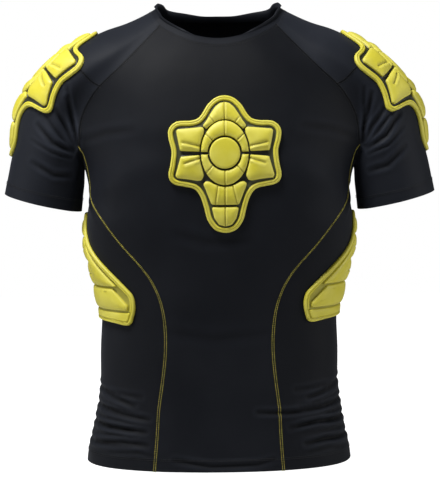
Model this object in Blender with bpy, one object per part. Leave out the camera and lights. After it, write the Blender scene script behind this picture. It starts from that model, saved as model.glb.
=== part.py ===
# Padded compression shirt in its worn, hollow form. Metres, +Z up, the front faces -Y.
# Lengths in the tables below are millimetres; the shirt is written out in metres.
import bpy
import math
import numpy as np
from mathutils import Vector
from mathutils.bvhtree import BVHTree
from mathutils.geometry import delaunay_2d_cdt

THICK = 1.5          # cloth wall
SEAM = 0.15          # each piece stops this far before its seam line
UNDERARM_SEAM = 0.25 # the same at the underarm seam, where the cloth folds back sharply
LIFT = 0.75          # pads stand this far off the cloth
# z, fullness of the torso section
POWER = [(-200, 3.2), (-250, 3.0), (-304, 2.6), (-346, 2.35), (-626, 2.35)]

# z, half width, front depth, back depth of the torso below the arms
TORSO = [
    (-200, 188, 124, 122), (-225, 186, 122, 121), (-250, 187, 121, 119),
    (-268, 190.5, 119, 117), (-285, 193, 117, 115), (-304, 192, 115, 113),
    (-339, 185, 110, 108), (-378, 175, 105, 102), (-406, 170.5, 103, 98),
    (-425, 171, 101, 96), (-465, 173, 100, 96), (-507, 173, 100, 99),
    (-526, 174.5, 101, 102), (-545, 177, 103, 105), (-567, 181.5, 105, 109),
    (-586, 185, 107, 112), (-606, 190, 110, 116), (-628, 193, 112, 118),
]
# z, distance of the front and back panel seams from the middle
SEAM_X = [
    (-200, 184.5), (-234, 183), (-250, 178), (-268, 169), (-303, 142), (-346, 104),
    (-384, 84), (-435, 74), (-480, 77), (-540, 85), (-590, 88), (-628, 91),
]
# front height, side height of each row of the torso net below the arms
ROWS = [
    (-200, -226), (-234, -248), (-270, -270), (-308, -308), (-346, -346),
    (-384, -384), (-422, -422), (-462, -462), (-500, -500),
    (-521, -521), (-542, -542), (-563, -563), (-584, -584), (-605, -605),
    (-628, -628),
]
# raglan front x, y, z; shoulder line x, y, z; raglan back x, y, z; arc half angle
RAGLAN = [
    ((199, -50, -171), (294.5, 3, -160), (199, 52, -171), 130),
    ((196, -54, -136), (290, 4, -122.5), (194, 63, -138), 120),
    ((184, -60, -108), (267.5, 5, -80), (181, 75, -110), 110),
    ((167, -68, -85), (223.5, 6, -37.5), (162, 84, -84), 100),
    ((143, -70, -63), (167, 7, -7), (138, 86, -56), 88),
    ((117.5, -62, -37.5), (132, 8, 5), (112, 78, -26), 76),
    ((82, -44, 0), (95, 8, 22.5), (77, 60, 11), 68),
]
# middle of each row above the arms: front y, front z, back y, back z
MIDDLE = [
    (-124, -175, 122, -172), (-121, -153, 121, -138), (-115, -130, 117, -105),
    (-107, -104, 110, -73), (-98, -78, 99, -43), (-87, -52, 86, -15),
    (-75, -28, 71, 8),
]
LEAN = 4.5                # the hem hangs this far towards the wearer's right
UNDERARM = (5, 30)       # inward and downward sweep of the underarm line
CUFF = (256, 1, -252, 55.5, 59, 13.5)    # centre x, y, z, half width, half depth, tilt
YOKE_ROW = 3             # raglan row where the yoke is sewn to the sleeve
COLLAR = (8.5, 3.5)      # collar band height and inward lean

# Folds: face, points x, z as seen from that face, half width, depth (below 0 stands out)
FOLDS = [
    ("front", ((-166, -524), (-148, -530), (-124, -538)), 6.5, 2.6),
    ("front", ((-170, -546), (-140, -551), (-104, -556)), 6.5, 2.8),
    ("front", ((-176, -570), (-140, -572), (-108, -574)), 6.5, 2.8),
    ("front", ((-180, -594), (-140, -590), (-106, -592)), 6.5, 2.6),
    ("front", ((166, -516), (146, -522), (124, -528)), 6.5, 2.6),
    ("front", ((172, -540), (140, -545), (96, -548), (52, -546)), 6.5, 2.8),
    ("front", ((176, -566), (136, -562), (98, -570)), 6.5, 2.6),
    ("front", ((182, -592), (146, -588), (120, -594)), 6.5, 2.2),
    ("front", ((-66, -612), (-14, -620), (50, -618), (72, -612)), 7, 1.8),
    ("back", ((168, -520), (140, -530), (104, -534)), 6.5, 2.6),
    ("back", ((172, -548), (136, -556), (92, -558)), 7, 2.8),
    ("back", ((178, -574), (146, -578), (100, -588)), 6.5, 2.6),
    ("back", ((-166, -526), (-142, -532), (-98, -540)), 6.5, 2.8),
    ("back", ((-174, -556), (-132, -560), (-88, -570)), 7, 2.6),
    ("back", ((-182, -586), (-150, -590), (-108, -588)), 6.5, 2.4),
    ("back", ((-150, -486), (-110, -498), (-62, -500)), 8, 2.0),
    ("back", ((140, -480), (106, -492), (58, -497)), 8, 2.0),
    ("front", ((-201, -168), (-206, -146), (-214, -102)), 6, 2.4),
    ("front", ((-205, -172), (-213, -150), (-230, -118)), 6, 2.4),
    ("front", ((-207, -178), (-234, -164), (-256, -138)), 6.5, 2.4),
    ("front", ((-212, -212), (-234, -210), (-264, -192)), 7, 1.8),
    ("front", ((203, -166), (208, -140), (216, -98)), 6, 2.4),
    ("front", ((206, -170), (216, -146), (234, -120)), 6, 2.4),
    ("front", ((210, -176), (236, -158), (256, -126)), 6.5, 2.4),
    ("front", ((214, -208), (238, -200), (264, -174)), 7, 1.8),
    ("back", ((-203, -168), (-214, -142), (-232, -112)), 6.5, 2.4),
    ("back", ((-208, -178), (-236, -166), (-262, -140)), 6.5, 2.2),
    ("back", ((203, -168), (212, -146), (228, -108)), 6.5, 2.4),
    ("back", ((208, -180), (238, -170), (262, -146)), 6.5, 2.2),
]

PIECES = [
    "front_panel", "back_panel", "side_panel_left", "side_panel_right",
    "sleeve_left", "sleeve_right", "shoulder_yoke_left", "shoulder_yoke_right",
    "collar",
]

# Half outline of the lobed pad about its boss: across, along (top tongue first)
LOBED = [
    (0, 78.8), (8, 77.6), (14.6, 74.5), (20, 70), (25, 64.2), (31.5, 53.5), (38, 47),
    (48, 44.5), (60, 44.3), (68, 42.6), (75, 37), (78.2, 29), (77, 18), (73.5, 3),
    (75, -13), (78, -28), (76.2, -37), (69, -43), (56, -45.8), (46, -48), (39.5, -52),
    (33.8, -61.5), (29.5, -75.4), (25, -92.5), (16.5, -105), (8, -109.3), (0, -110.5),
]
# Raised blocks of the lobed pad, right halves or right-hand blocks
LOBE = [(0, 69), (7, 67.3), (13.5, 61.5), (19.5, 52.5), (25, 43.5), (30, 36.8),
        (25, 32.6), (19, 38.5), (12, 43.1), (6, 45.2), (0, 45.9)]
STEM_UPPER = [(0, -46.5), (8, -45.3), (15, -42.4), (22, -38.8), (26.5, -38.6), (30, -42),
              (26, -52), (19.5, -69), (17.5, -70.8), (0, -71)]
STEM_LOWER = [(0, -74.6), (16.5, -74.2), (18.2, -76), (15, -90), (9, -98.5), (0, -101.2)]
WING_UPPER = [(35.1, 2.6), (33.9, 12), (31.6, 20), (28.6, 27.5), (28.4, 32.6), (31, 35),
              (48, 33.6), (64.5, 32.2), (66.5, 30), (65, 22), (61, 3.4), (48, 2.9)]
WING_LOWER = [(35.1, -2.6), (48, -3.6), (60.5, -5), (65, -20), (68, -30), (66, -33.4),
              (50, -35.2), (37, -37.6), (32.4, -36.6), (29, -30), (31.6, -20), (33.9, -12)]
RIM = 7.4            # rim of a pad, and the groove inside it
GROOVE = 3.8
BOSS = 21.3
RING = (23.5, 33, 44)    # inner radius, outer half width and half height
HEIGHTS = (4.6, 1.9, 6.2, 7.3, 6.6)    # rim, groove floor, block edge, block crease, boss
CHEST_SCALE = (1.0, 1.0)
SHOULDER_SCALE = (1.08, 1.285)
SHOULDER_SPLAY = 0.26     # how far the wing tips of the shoulder pads spread
SHOULDER_FLARE = 0.0014   # how much further the lower wings reach than the upper ones
# by side, 1 the wearer's left: collar seam to the middle of the pad's boss, along the
# shoulder, and the pad's reach down the sleeve from there
SHOULDER_BOSS = {1: 177.7, -1: 174.3}
SHOULDER_DOWN = {1: 135.6, -1: 142}
SHOULDER_WINGS = (60, 53)  # heights up to the first are drawn in to the second
SHOULDER_UP = 90           # reach from the boss towards the neck
CHEST_AT = (7.8, -177.8)
# by side: how far the top and the bottom of the side pad stand above its outline's heights
RIB_UP = {1: (4.5, 3.0), -1: (4.5, 0.5)}

# Half outline of the side pad: forward of the side line, height
RIB = [
    (0, -271.5), (9, -273), (16, -279), (23, -290), (34, -303), (45, -317), (65, -338),
    (83, -357), (99, -375), (105, -384), (105.5, -397), (101, -412), (92, -425.5),
    (64, -424), (30, -423), (0, -423),
]


def piecewise(table, z, column):
    rows = sorted(table)
    return float(np.interp(z, [r[0] for r in rows], [r[column] for r in rows]))


def torso_section(z_front, z_side, columns=6, samples=240):
    """Points of one torso row from the right front seam, anticlockwise seen from above."""
    half = piecewise(TORSO, z_side, 1)
    front = piecewise(TORSO, z_front, 2)
    back = piecewise(TORSO, z_front, 3)
    seam = piecewise(SEAM_X, z_front, 1)
    power = piecewise(POWER, z_side, 1)
    cut = math.acos(min(1.0, seam / half) ** (power / 2))
    spans = [(-math.pi + cut, -cut), (-cut, cut), (cut, math.pi - cut),
             (math.pi - cut, math.pi + cut)]
    ring = []
    for low, high in spans:
        t = np.linspace(low, high, samples)
        c, s = np.cos(t), np.sin(t)
        x = half * np.sign(c) * np.abs(c) ** (2 / power)
        y = np.where(s < 0, front, back) * np.sign(s) * np.abs(s) ** (2 / power)
        run = np.concatenate([[0], np.cumsum(np.hypot(np.diff(x), np.diff(y)))])
        at = np.linspace(0, run[-1], columns + 1)[:-1]
        px, py = np.interp(at, run, x), np.interp(at, run, y)
        blend = (np.abs(px) / half) ** 4
        pz = z_front + (z_side - z_front) * blend
        lean = LEAN * min(1.0, max(0.0, (-z_front - 250) / 370))
        ring += list(zip(px - lean, py, pz))
    return ring


def shoulder_arc(row, side, columns=8):
    """Points from the front raglan seam over the shoulder to the back raglan seam."""
    front, top, back, half_angle = RAGLAN[row]
    f, t, b = (np.array(p, float) for p in (front, top, back))
    tau = math.radians(half_angle)
    middle, reach = (f + b) / 2, (b - f) / 2
    points = []
    for k in range(columns + 1):
        a = -tau + 2 * tau * k / columns
        rise = (math.cos(a) - math.cos(tau)) / (1 - math.cos(tau))
        p = middle + (t - middle) * rise + reach * math.sin(a) / math.sin(tau)
        points.append((side * p[0], p[1], p[2]))
    return points


def underarm_line(side, columns=6):
    front, _, back, _ = RAGLAN[0]
    points = []
    for k in range(columns + 1):
        u = -1 + 2 * k / columns
        dip = 1 - u * u
        points.append((side * (front[0] - UNDERARM[0] * dip ** 0.8),
                       front[1] + (back[1] - front[1]) * k / columns,
                       front[2] - UNDERARM[1] * dip ** 0.8))
    return points


def cuff_ring(side, outer=8, under=6):
    """Cuff points in the order of the armpit ring: outer arc, then underarm back to front."""
    cx, cy, cz, rx, ry, tilt = CUFF
    tau = math.radians(132)
    angles = [-tau + 2 * tau * k / outer for k in range(outer + 1)]
    gap = 2 * (math.pi - tau)
    angles += [tau + gap * k / under for k in range(1, under)]
    points = []
    for a in angles:
        x, y = rx * math.cos(a), ry * math.sin(a)
        z = x * math.tan(math.radians(tilt)) - 1.0 * max(0.0, -math.sin(a))
        points.append((side * (cx + x), cy + y, cz + z))
    return points


def build_net():
    """Control points of the whole shirt, its quads and the piece each quad belongs to."""
    points, quads, owner = [], [], []

    def add(p):
        points.append(p)
        return len(points) - 1

    def quad(a, b, c, d, piece):
        quads.append((a, b, c, d))
        owner.append(piece)

    below = [[add(p) for p in torso_section(zf, zs)] for zf, zs in ROWS]
    arcs, unders = {}, {}
    for side in (-1, 1):
        arcs[side] = [[add(p) for p in shoulder_arc(r, side)] for r in range(7)]
        line = underarm_line(side)
        unders[side] = [arcs[side][0][0]] + [add(p) for p in line[1:-1]] \
            + [arcs[side][0][8]]
    fronts, backs = [], []
    for r in range(7):
        f, _, b, _ = RAGLAN[r]
        fy, fz, by, bz = MIDDLE[r]
        row_f, row_b = [arcs[-1][r][0]], [arcs[1][r][8]]
        for j in range(1, 6):
            u = -1 + j / 3
            row_f.append(add((f[0] * u, f[1] + (fy - f[1]) * (1 - abs(u) ** 2.8),
                              f[2] + (fz - f[2]) * (1 - u * u))))
            row_b.append(add((-b[0] * u, b[1] + (by - b[1]) * (1 - abs(u) ** 2.8),
                              b[2] + (bz - b[2]) * (1 - u * u))))
        fronts.append(row_f + [arcs[1][r][0]])
        backs.append(row_b + [arcs[-1][r][8]])
    # Torso rings run right front seam, front, left side, back, right side.
    armpit = fronts[0] + unders[1][1:] + backs[0][1:] + unders[-1][::-1][1:-1]
    rings = [armpit] + below
    for upper, lower in zip(rings, rings[1:]):
        for c in range(24):
            n = (c + 1) % 24
            piece = 0 if c < 6 else 2 if c < 12 else 1 if c < 18 else 3
            quad(lower[c], lower[n], upper[n], upper[c], piece)
    for rows, piece in ((fronts, 0), (backs, 1)):
        for low, high in zip(rows, rows[1:]):
            for c in range(6):
                quad(low[c], low[c + 1], high[c + 1], high[c], piece)
    for side, sleeve, yoke in ((1, 4, 6), (-1, 5, 7)):
        arc = arcs[side]
        for r in range(6):
            piece = sleeve if r < YOKE_ROW else yoke
            for c in range(8):
                face = (arc[r][c], arc[r][c + 1], arc[r + 1][c + 1], arc[r + 1][c])
                quad(*(face if side == 1 else face[::-1]), piece)
        upper = arc[0] + unders[side][::-1][1:-1]
        last = cuff_ring(side)
        start = [points[i] for i in upper]
        previous = upper
        for step in (1, 2, 3):
            f = step / 3
            ring = [add(tuple(a + (b - a) * f for a, b in zip(p, q)))
                    for p, q in zip(start, last)]
            for c in range(14):
                n = (c + 1) % 14
                face = (ring[c], ring[n], previous[n], previous[c])
                quad(*(face if side == 1 else face[::-1]), sleeve)
            previous = ring
    neck = fronts[6] + arcs[1][6][1:] + backs[6][1:] + arcs[-1][6][::-1][1:-1]
    lean = []
    for i in neck:
        p = np.array(points[i], float)
        inward = np.array((-p[0], -p[1], 0.0)) / (np.hypot(p[0], p[1]) + 1e-9)
        lean.append(add(tuple(p + inward * COLLAR[1] + np.array((0, 0, COLLAR[0])))))
    for c in range(28):
        n = (c + 1) % 28
        quad(neck[c], neck[n], lean[n], lean[c], 8)
    return np.array(points, float), quads, owner


def smooth_net(points, quads, owner, levels):
    mesh = bpy.data.meshes.new("net")
    mesh.from_pydata([tuple(p) for p in points], [], quads)
    mesh.polygons.foreach_set("material_index", owner)
    net = bpy.data.objects.new("net", mesh)
    bpy.context.scene.collection.objects.link(net)
    smooth = net.modifiers.new("smooth", "SUBSURF")
    smooth.levels = smooth.render_levels = levels
    smooth.use_limit_surface = True
    bpy.context.view_layer.update()
    shaped = net.evaluated_get(bpy.context.evaluated_depsgraph_get())
    result = shaped.to_mesh()
    out = np.empty(len(result.vertices) * 3)
    result.vertices.foreach_get("co", out)
    faces = [tuple(p.vertices) for p in result.polygons]
    index = [p.material_index for p in result.polygons]
    shaped.to_mesh_clear()
    bpy.data.objects.remove(net, do_unlink=True)
    bpy.data.meshes.remove(mesh)
    return out.reshape(-1, 3), faces, index


def fitted_surface(levels):
    """Smooth surface that passes through the control points of the tables."""
    target, quads, owner = build_net()
    control = target.copy()
    for _ in range(5):
        smooth, _, _ = smooth_net(control, quads, owner, 1)
        control += target - smooth[:len(target)]
    return smooth_net(control, quads, owner, levels)


def point_normals(points, faces):
    quads = np.array(faces)
    a = points[quads[:, 2]] - points[quads[:, 0]]
    b = points[quads[:, 3]] - points[quads[:, 1]]
    cross = np.cross(a, b)
    cross /= np.linalg.norm(cross, axis=1)[:, None]
    total = np.zeros_like(points)
    for k in range(4):
        np.add.at(total, quads[:, k], cross)
    return total / np.linalg.norm(total, axis=1)[:, None]


def tree_of(points, faces):
    return BVHTree.FromPolygons([tuple(p) for p in points], faces, epsilon=0.0)


def apply_folds(points, faces):
    normals = point_normals(points, faces)
    tree = tree_of(points, faces)
    shift = np.zeros(len(points))
    for face, line, width, depth in FOLDS:
        direction = 1 if face == "front" else -1
        dense = []
        for (x0, z0), (x1, z1) in zip(line, line[1:]):
            steps = max(2, int(math.hypot(x1 - x0, z1 - z0) / 4))
            for k in range(steps):
                f = k / steps
                dense.append((x0 + (x1 - x0) * f, z0 + (z1 - z0) * f))
        dense.append(line[-1])
        path = []
        for x, z in dense:
            hit = tree.ray_cast(Vector((x, -300 * direction, z)),
                                Vector((0, direction, 0)))[0]
            if hit is not None:
                path.append(tuple(hit))
        if len(path) < 3:
            continue
        path = np.array(path)
        gap = np.linalg.norm(points[:, None, :] - path[None, :, :], axis=2)
        nearest = gap.argmin(axis=1)
        distance = gap[np.arange(len(points)), nearest]
        along = nearest / (len(path) - 1)
        taper = np.sqrt(np.clip(np.minimum((along + 0.06) / 0.25,
                                           (1.06 - along) / 0.35), 0, 1))
        shape = np.exp(-(distance / width) ** 2) \
            - 0.45 * np.exp(-((distance - 2.0 * width) / width) ** 2)
        shift -= depth * shape * taper
    return points + normals * shift[:, None]


def cloth_piece(points, faces, normals, members):
    """Closed wall of one piece: outer face, inner face, rim round every free edge."""
    used = sorted({v for f in members for v in faces[f]})
    local = {v: i for i, v in enumerate(used)}
    edges = {}
    for f in members:
        q = faces[f]
        for k in range(len(q)):
            a, b = q[k], q[(k + 1) % len(q)]
            edges[(a, b)] = f
    border = [(a, b) for (a, b) in edges if (b, a) not in edges]
    shared = {tuple(sorted(e)) for e in border} & SHARED_EDGES
    pull, reach = {}, {}
    for a, b in border:
        key = tuple(sorted((a, b)))
        if key not in shared:
            continue
        sharp = edge_owner[key] in ({2, 4}, {3, 5})
        for v in (a, b):
            reach[v] = max(reach.get(v, 0), UNDERARM_SEAM if sharp else SEAM)
        along = points[b] - points[a]
        inward = np.cross(normals[a] + normals[b], along)
        inward /= np.linalg.norm(inward)
        for v in (a, b):
            pull.setdefault(v, []).append(inward)
    outer = points[used].copy()
    for v, ways in pull.items():
        total = np.sum(ways, axis=0)
        unit = total / np.linalg.norm(total)
        least = max(0.5, min(float(np.dot(unit, w)) for w in ways))
        outer[local[v]] += unit * reach[v] / least
    inner = outer - normals[used] * THICK
    count = len(used)
    verts = np.vstack([outer, inner])
    solid = []
    for f in members:
        q = [local[v] for v in faces[f]]
        for tri in ((q[0], q[1], q[2]), (q[0], q[2], q[3])):
            solid.append(tri)
            solid.append(tuple(i + count for i in tri[::-1]))
    for a, b in border:
        i, j = local[a], local[b]
        if a < b:
            solid += [(i, i + count, j + count), (i, j + count, j)]
        else:
            solid += [(i, i + count, j), (i + count, j + count, j)]
    return verts, solid


def add_object(name, verts, solid, colour, roughness):
    mesh = bpy.data.meshes.new(name)
    mesh.from_pydata([tuple(float(c) * 0.001 for c in v) for v in verts], [],
                     [tuple(int(i) for i in f) for f in solid])
    mesh.validate()
    mesh.update()
    material = bpy.data.materials.new(name)
    material.use_nodes = True
    shader = material.node_tree.nodes["Principled BSDF"]
    shader.inputs["Base Color"].default_value = (*colour, 1)
    shader.inputs["Roughness"].default_value = roughness
    mesh.materials.append(material)
    obj = bpy.data.objects.new(name, mesh)
    bpy.context.scene.collection.objects.link(obj)
    return obj


class Ground:
    """The finished outer cloth surface, with smooth normals, for laying pads on it."""

    def __init__(self, points, faces, normals):
        self.points, self.faces, self.normals = points, faces, normals
        self.tris = [t for q in faces for t in ((q[0], q[1], q[2]), (q[0], q[2], q[3]))]
        self.tree = tree_of(points, self.tris)

    def cast(self, start, way):
        hit, _, index, _ = self.tree.ray_cast(Vector(start), Vector(way))
        if hit is None:
            hit, _, index, _ = self.tree.find_nearest(Vector(start) + Vector(way) * 60)
        a, b, c = self.tris[index]
        p = np.array(hit)
        pa, pb, pc = self.points[a], self.points[b], self.points[c]
        area = np.cross(pb - pa, pc - pa)
        whole = np.dot(area, area) + 1e-12
        wa = np.dot(np.cross(pb - p, pc - p), area) / whole
        wb = np.dot(np.cross(pc - p, pa - p), area) / whole
        n = self.normals[a] * wa + self.normals[b] * wb + self.normals[c] * (1 - wa - wb)
        return p, n / np.linalg.norm(n)


class Carrier:
    """Flat pad coordinates (along, across) laid on the cloth without stretching."""

    def __init__(self, ground, starts, outs, turns, reach):
        self.ground, self.starts, self.outs, self.turns = ground, starts, outs, turns
        self.angles = np.radians(np.linspace(-reach, reach, 61))
        lines, tops = [], []
        for g, n, t in zip(starts, outs, turns):
            row = [ground.cast(g, n * math.cos(a) + t * math.sin(a))[0]
                   for a in self.angles]
            lines.append(np.array(row))
            tops.append(row[30])
        tops = np.array(tops)
        self.along = np.concatenate(
            [[0], np.cumsum(np.linalg.norm(np.diff(tops, axis=0), axis=1))])
        self.across = []
        for row in lines:
            run = np.concatenate(
                [[0], np.cumsum(np.linalg.norm(np.diff(row, axis=0), axis=1))])
            self.across.append(run - run[30])
        self.across = np.array(self.across)

    def place(self, s, w):
        s = min(max(s, self.along[0]), self.along[-1])
        f = float(np.interp(s, self.along, np.arange(len(self.along))))
        i = min(int(f), len(self.along) - 2)
        f -= i
        angle = (1 - f) * np.interp(w, self.across[i], self.angles) \
            + f * np.interp(w, self.across[i + 1], self.angles)
        g = self.starts[i] * (1 - f) + self.starts[i + 1] * f
        n = self.outs[i] * (1 - f) + self.outs[i + 1] * f
        t = self.turns[i] * (1 - f) + self.turns[i + 1] * f
        return self.ground.cast(g, n * math.cos(angle) + t * math.sin(angle))


def spline(points, count):
    pts = np.array(points, float)
    pts = np.vstack([2 * pts[0] - pts[1], pts, 2 * pts[-1] - pts[-2]])
    out = []
    for u in np.linspace(0, len(pts) - 3, count):
        i = min(int(u), len(pts) - 4)
        f = u - i
        a, b, c, d = pts[i:i + 4]
        out.append(0.5 * (2 * b + (c - a) * f + (2 * a - 5 * b + 4 * c - d) * f * f
                          + (3 * b - a - 3 * c + d) * f ** 3))
    return np.array(out)


def shoulder_carrier(ground, side):
    tops = [RAGLAN[r][1] for r in (6, 5, 4, 3, 2, 1, 0)] + [(302, 3, -200), (309, 2, -234)]
    line = spline(tops, 57)
    ways = np.gradient(line, axis=0)
    outs = np.stack([-ways[:, 2], 0 * ways[:, 1], ways[:, 0]], axis=1)
    outs /= np.linalg.norm(outs, axis=1)[:, None]
    depth = np.interp(np.linspace(0, 1, 57), [0, 0.35, 1], [72, 66, 54])
    starts = line - outs * depth[:, None]
    for _ in range(12):
        starts[1:-1] = (starts[:-2] + 2 * starts[1:-1] + starts[2:]) / 4
    starts[:, 1] = 3
    outs = line - starts
    outs[:, 1] = 0
    outs /= np.linalg.norm(outs, axis=1)[:, None]
    mirror = np.array((side, 1, 1.0))
    turns = np.tile(np.array((0, -1.0, 0)), (57, 1))
    return Carrier(ground, starts * mirror, outs * mirror, turns, 118)


def rib_carrier(ground, side):
    heights = np.linspace(-262, -436, 30)
    starts = np.array([(side * 62.0, 0, z) for z in heights])
    outs = np.tile(np.array((side, 0, 0.0)), (30, 1))
    turns = np.tile(np.array((0, -1.0, 0)), (30, 1))
    return Carrier(ground, starts, outs, turns, 118)


def full_loop(half):
    """Close a half outline by mirroring it across its own axis."""
    back = [(-u, v) for u, v in reversed(half) if u > 0]
    return np.array(list(half) + back, float)


def resample(loop, spacing):
    closed = np.vstack([spline(np.vstack([loop[-2:], loop, loop[:2]]), 40 * len(loop))])
    n = len(loop)
    total = np.linspace(0, n + 3, 40 * n)
    keep = (total >= 2) & (total <= n + 2)
    closed = closed[keep]
    closed = np.vstack([closed, closed[:1]])
    run = np.concatenate([[0], np.cumsum(np.linalg.norm(np.diff(closed, axis=0), axis=1))])
    count = max(8, int(round(run[-1] / spacing)))
    at = np.linspace(0, run[-1], count + 1)[:-1]
    return np.stack([np.interp(at, run, closed[:, k]) for k in (0, 1)], axis=1)


def inside_distance(loop, p):
    """Distance from p to a closed loop, positive inside."""
    a, b = loop, np.roll(loop, -1, axis=0)
    d = b - a
    f = np.clip(((p - a) * d).sum(1) / ((d * d).sum(1) + 1e-12), 0, 1)
    near = np.sqrt((((a + d * f[:, None]) - p) ** 2).sum(1).min())
    cross = (a[:, 1] > p[1]) != (b[:, 1] > p[1])
    with np.errstate(divide="ignore", invalid="ignore"):
        at = a[:, 0] + (p[1] - a[:, 1]) / (b[:, 1] - a[:, 1]) * d[:, 0]
    return near if np.count_nonzero(cross & (p[0] < at)) % 2 else -near


def ray_loop(field, centre, level, angles, reach):
    """Points round a centre where the field falls to a level."""
    points = []
    for a in angles:
        way = np.array((math.cos(a), math.sin(a)))
        low, step = 0.0, 1.5
        while low + step < reach and field(centre + way * (low + step)) > level:
            low += step
        high = low + step
        for _ in range(14):
            mid = (low + high) / 2
            if field(centre + way * mid) > level:
                low = mid
            else:
                high = mid
        points.append(centre + way * low)
    return np.array(points)


def block_angles(block, centre, corners, reach, spacing):
    """Ray angles through the corners of a block, filled in until its edge is even."""
    turns = sorted(math.atan2(c[1] - centre[1], c[0] - centre[0]) for c in corners)
    for _ in range(5):
        loop = ray_loop(block, centre, 0.0, turns, reach)
        filled = []
        for k, turn in enumerate(turns):
            filled.append(turn)
            chord = loop[(k + 1) % len(turns)] - loop[k]
            if np.linalg.norm(chord) > spacing:
                middle = loop[k] + chord / 2 - centre
                extra = math.atan2(middle[1], middle[0])
                while extra < turn:
                    extra += 2 * math.pi
                filled.append(extra)
        turns = filled
    return turns


def block_loops(blocks, reach, spacing):
    loops, marks = [], []
    for centre, block, corners, crease in blocks:
        centre = np.array(centre, float)
        turns = block_angles(block, centre, corners, reach, spacing)
        loops.append((ray_loop(block, centre, 0.0, turns, reach), HEIGHTS[1]))
        loops.append((ray_loop(block, centre, 1.2, turns, reach), HEIGHTS[2]))
        (x0, y0), (x1, y1) = crease
        steps = max(1, int(math.hypot(x1 - x0, y1 - y0) / spacing + 0.5))
        marks += [((x0 + (x1 - x0) * k / steps, y0 + (y1 - y0) * k / steps), HEIGHTS[3])
                  for k in range(steps + 1)]
    return loops, marks


def lobed_blocks(scale):
    """Raised blocks of the lobed pad: centre, field, corners, crease ends."""
    shapes = [(LOBE, (0, 57), ((0, 50), (0, 64))),
              (STEM_UPPER, (0, -58), ((0, -51), (0, -67))),
              (STEM_LOWER, (0, -86), ((0, -79), (0, -95)))]
    blocks = []
    for half, centre, crease in shapes:
        loop = [(-x, y) for x, y in reversed(half) if x > 0] + half
        blocks.append((loop, centre, crease))
    for side in (-1, 1):
        for wing, sign in ((WING_UPPER, 1), (WING_LOWER, -1)):
            loop = [(side * x, y) for x, y in wing]
            blocks.append((loop, (side * 47, sign * 18.5),
                           ((side * 40, sign * 16), (side * 57, sign * 20))))
    result = []
    for loop, centre, crease in blocks:
        loop = np.array(loop, float) * scale

        def field(p, loop=loop):
            return inside_distance(loop, p)
        result.append((np.array(centre) * scale, field, loop,
                       [tuple(np.array(c) * scale) for c in crease]))
    return result


def oval(half_width, half_height, angles):
    return [(half_width * math.cos(a), half_height * math.sin(a)) for a in angles]


def lobed_pattern(scale):
    scale = np.array(scale)
    half = [tuple(np.array(p) * scale) for p in LOBED]
    outline = resample(full_loop(half), 12.5)
    fine = resample(full_loop(half), 3)
    loops = [(outline, 0.0)]

    def field(p):
        return inside_distance(fine, p)

    angles = [math.atan2(q[1], q[0]) for q in outline]
    for depth, height in ((0.9, HEIGHTS[0]), (RIM, HEIGHTS[0]),
                          (RIM + 0.9, HEIGHTS[1])):
        loops.append((ray_loop(field, np.zeros(2), depth, angles, 170), height))
    raised, marks = block_loops(lobed_blocks(scale), 60, 18)
    loops += raised
    turn = np.linspace(0, 2 * math.pi, 17)[:-1]
    for inset, height in ((0, HEIGHTS[1]), (1.2, HEIGHTS[4])):
        loops.append((np.array(oval(BOSS - inset, BOSS - inset, turn)) * scale, height))
    marks.append(((0, 0), HEIGHTS[4]))
    for sign in (1, -1):
        for inset, height in ((0, HEIGHTS[1]), (1.0, HEIGHTS[4])):
            gap, inner = 1.6 + inset, RING[0] + inset
            a0, a1 = math.asin(gap / inner), math.asin(gap / (RING[2] - inset))
            ring = oval(RING[1] - inset, RING[2] - inset, np.linspace(a1, math.pi - a1, 12))
            ring += oval(inner, inner, np.linspace(math.pi - a0, a0, 10))
            loops.append((np.array([(x, sign * y) for x, y in ring]) * scale, height))
    return loops, marks


def rib_blocks(loop):
    edge = RIM + GROOVE

    def base(p):
        return inside_distance(loop, p) - edge

    def band(top, bottom):
        def field(p):
            return min(base(p), top - p[1], p[1] - bottom, 27.5 - abs(p[0]))
        return field

    blocks = []
    for top, bottom, wide in ((-271, -302.5, 10), (-306, -339.5, 19), (-343.5, -377.5, 26)):
        middle = (top + bottom) / 2 - (4 if top > -275 else 0)
        half = wide if top > -275 else 27.5
        corners = [(-half, bottom), (half, bottom), (wide, top - 6), (-wide, top - 6)]
        blocks.append(((0, middle), band(top, bottom), corners,
                       [(0, middle + 8), (0, middle - 8)]))
    for side in (-1, 1):
        def field(p, side=side):
            return min(base(p), side * p[0] - 30.5, p[1] + 376.5)
        blocks.append(((side * 44, -364), field,
                       [(side * 30.5, -328), (side * 82, -376), (side * 30.5, -376)],
                       [(side * 37, -362), (side * 58, -370)]))

    def wide_block(p):
        return min(base(p), -381 - p[1])
    blocks.append(((0, -396), wide_block,
                   [(-85, -382), (85, -382), (93, -398), (-93, -398), (-86, -411),
                    (86, -411)], [(-66, -396), (66, -396)]))
    return blocks


def rib_pattern():
    outline = resample(full_loop(RIB), 10.5)
    fine = resample(full_loop(RIB), 3)
    loops = [(outline, 0.0)]

    def field(p):
        return inside_distance(fine, p)

    centre = np.array((0.0, -392.0))
    angles = [math.atan2(q[1] - centre[1], q[0] - centre[0]) for q in outline]
    for depth, height in ((0.9, HEIGHTS[0]), (RIM, HEIGHTS[0]),
                          (RIM + 0.9, HEIGHTS[1])):
        loops.append((ray_loop(field, centre, depth, angles, 170), height))
    raised, marks = block_loops(rib_blocks(fine), 120, 13)
    return loops + raised, marks


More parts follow.
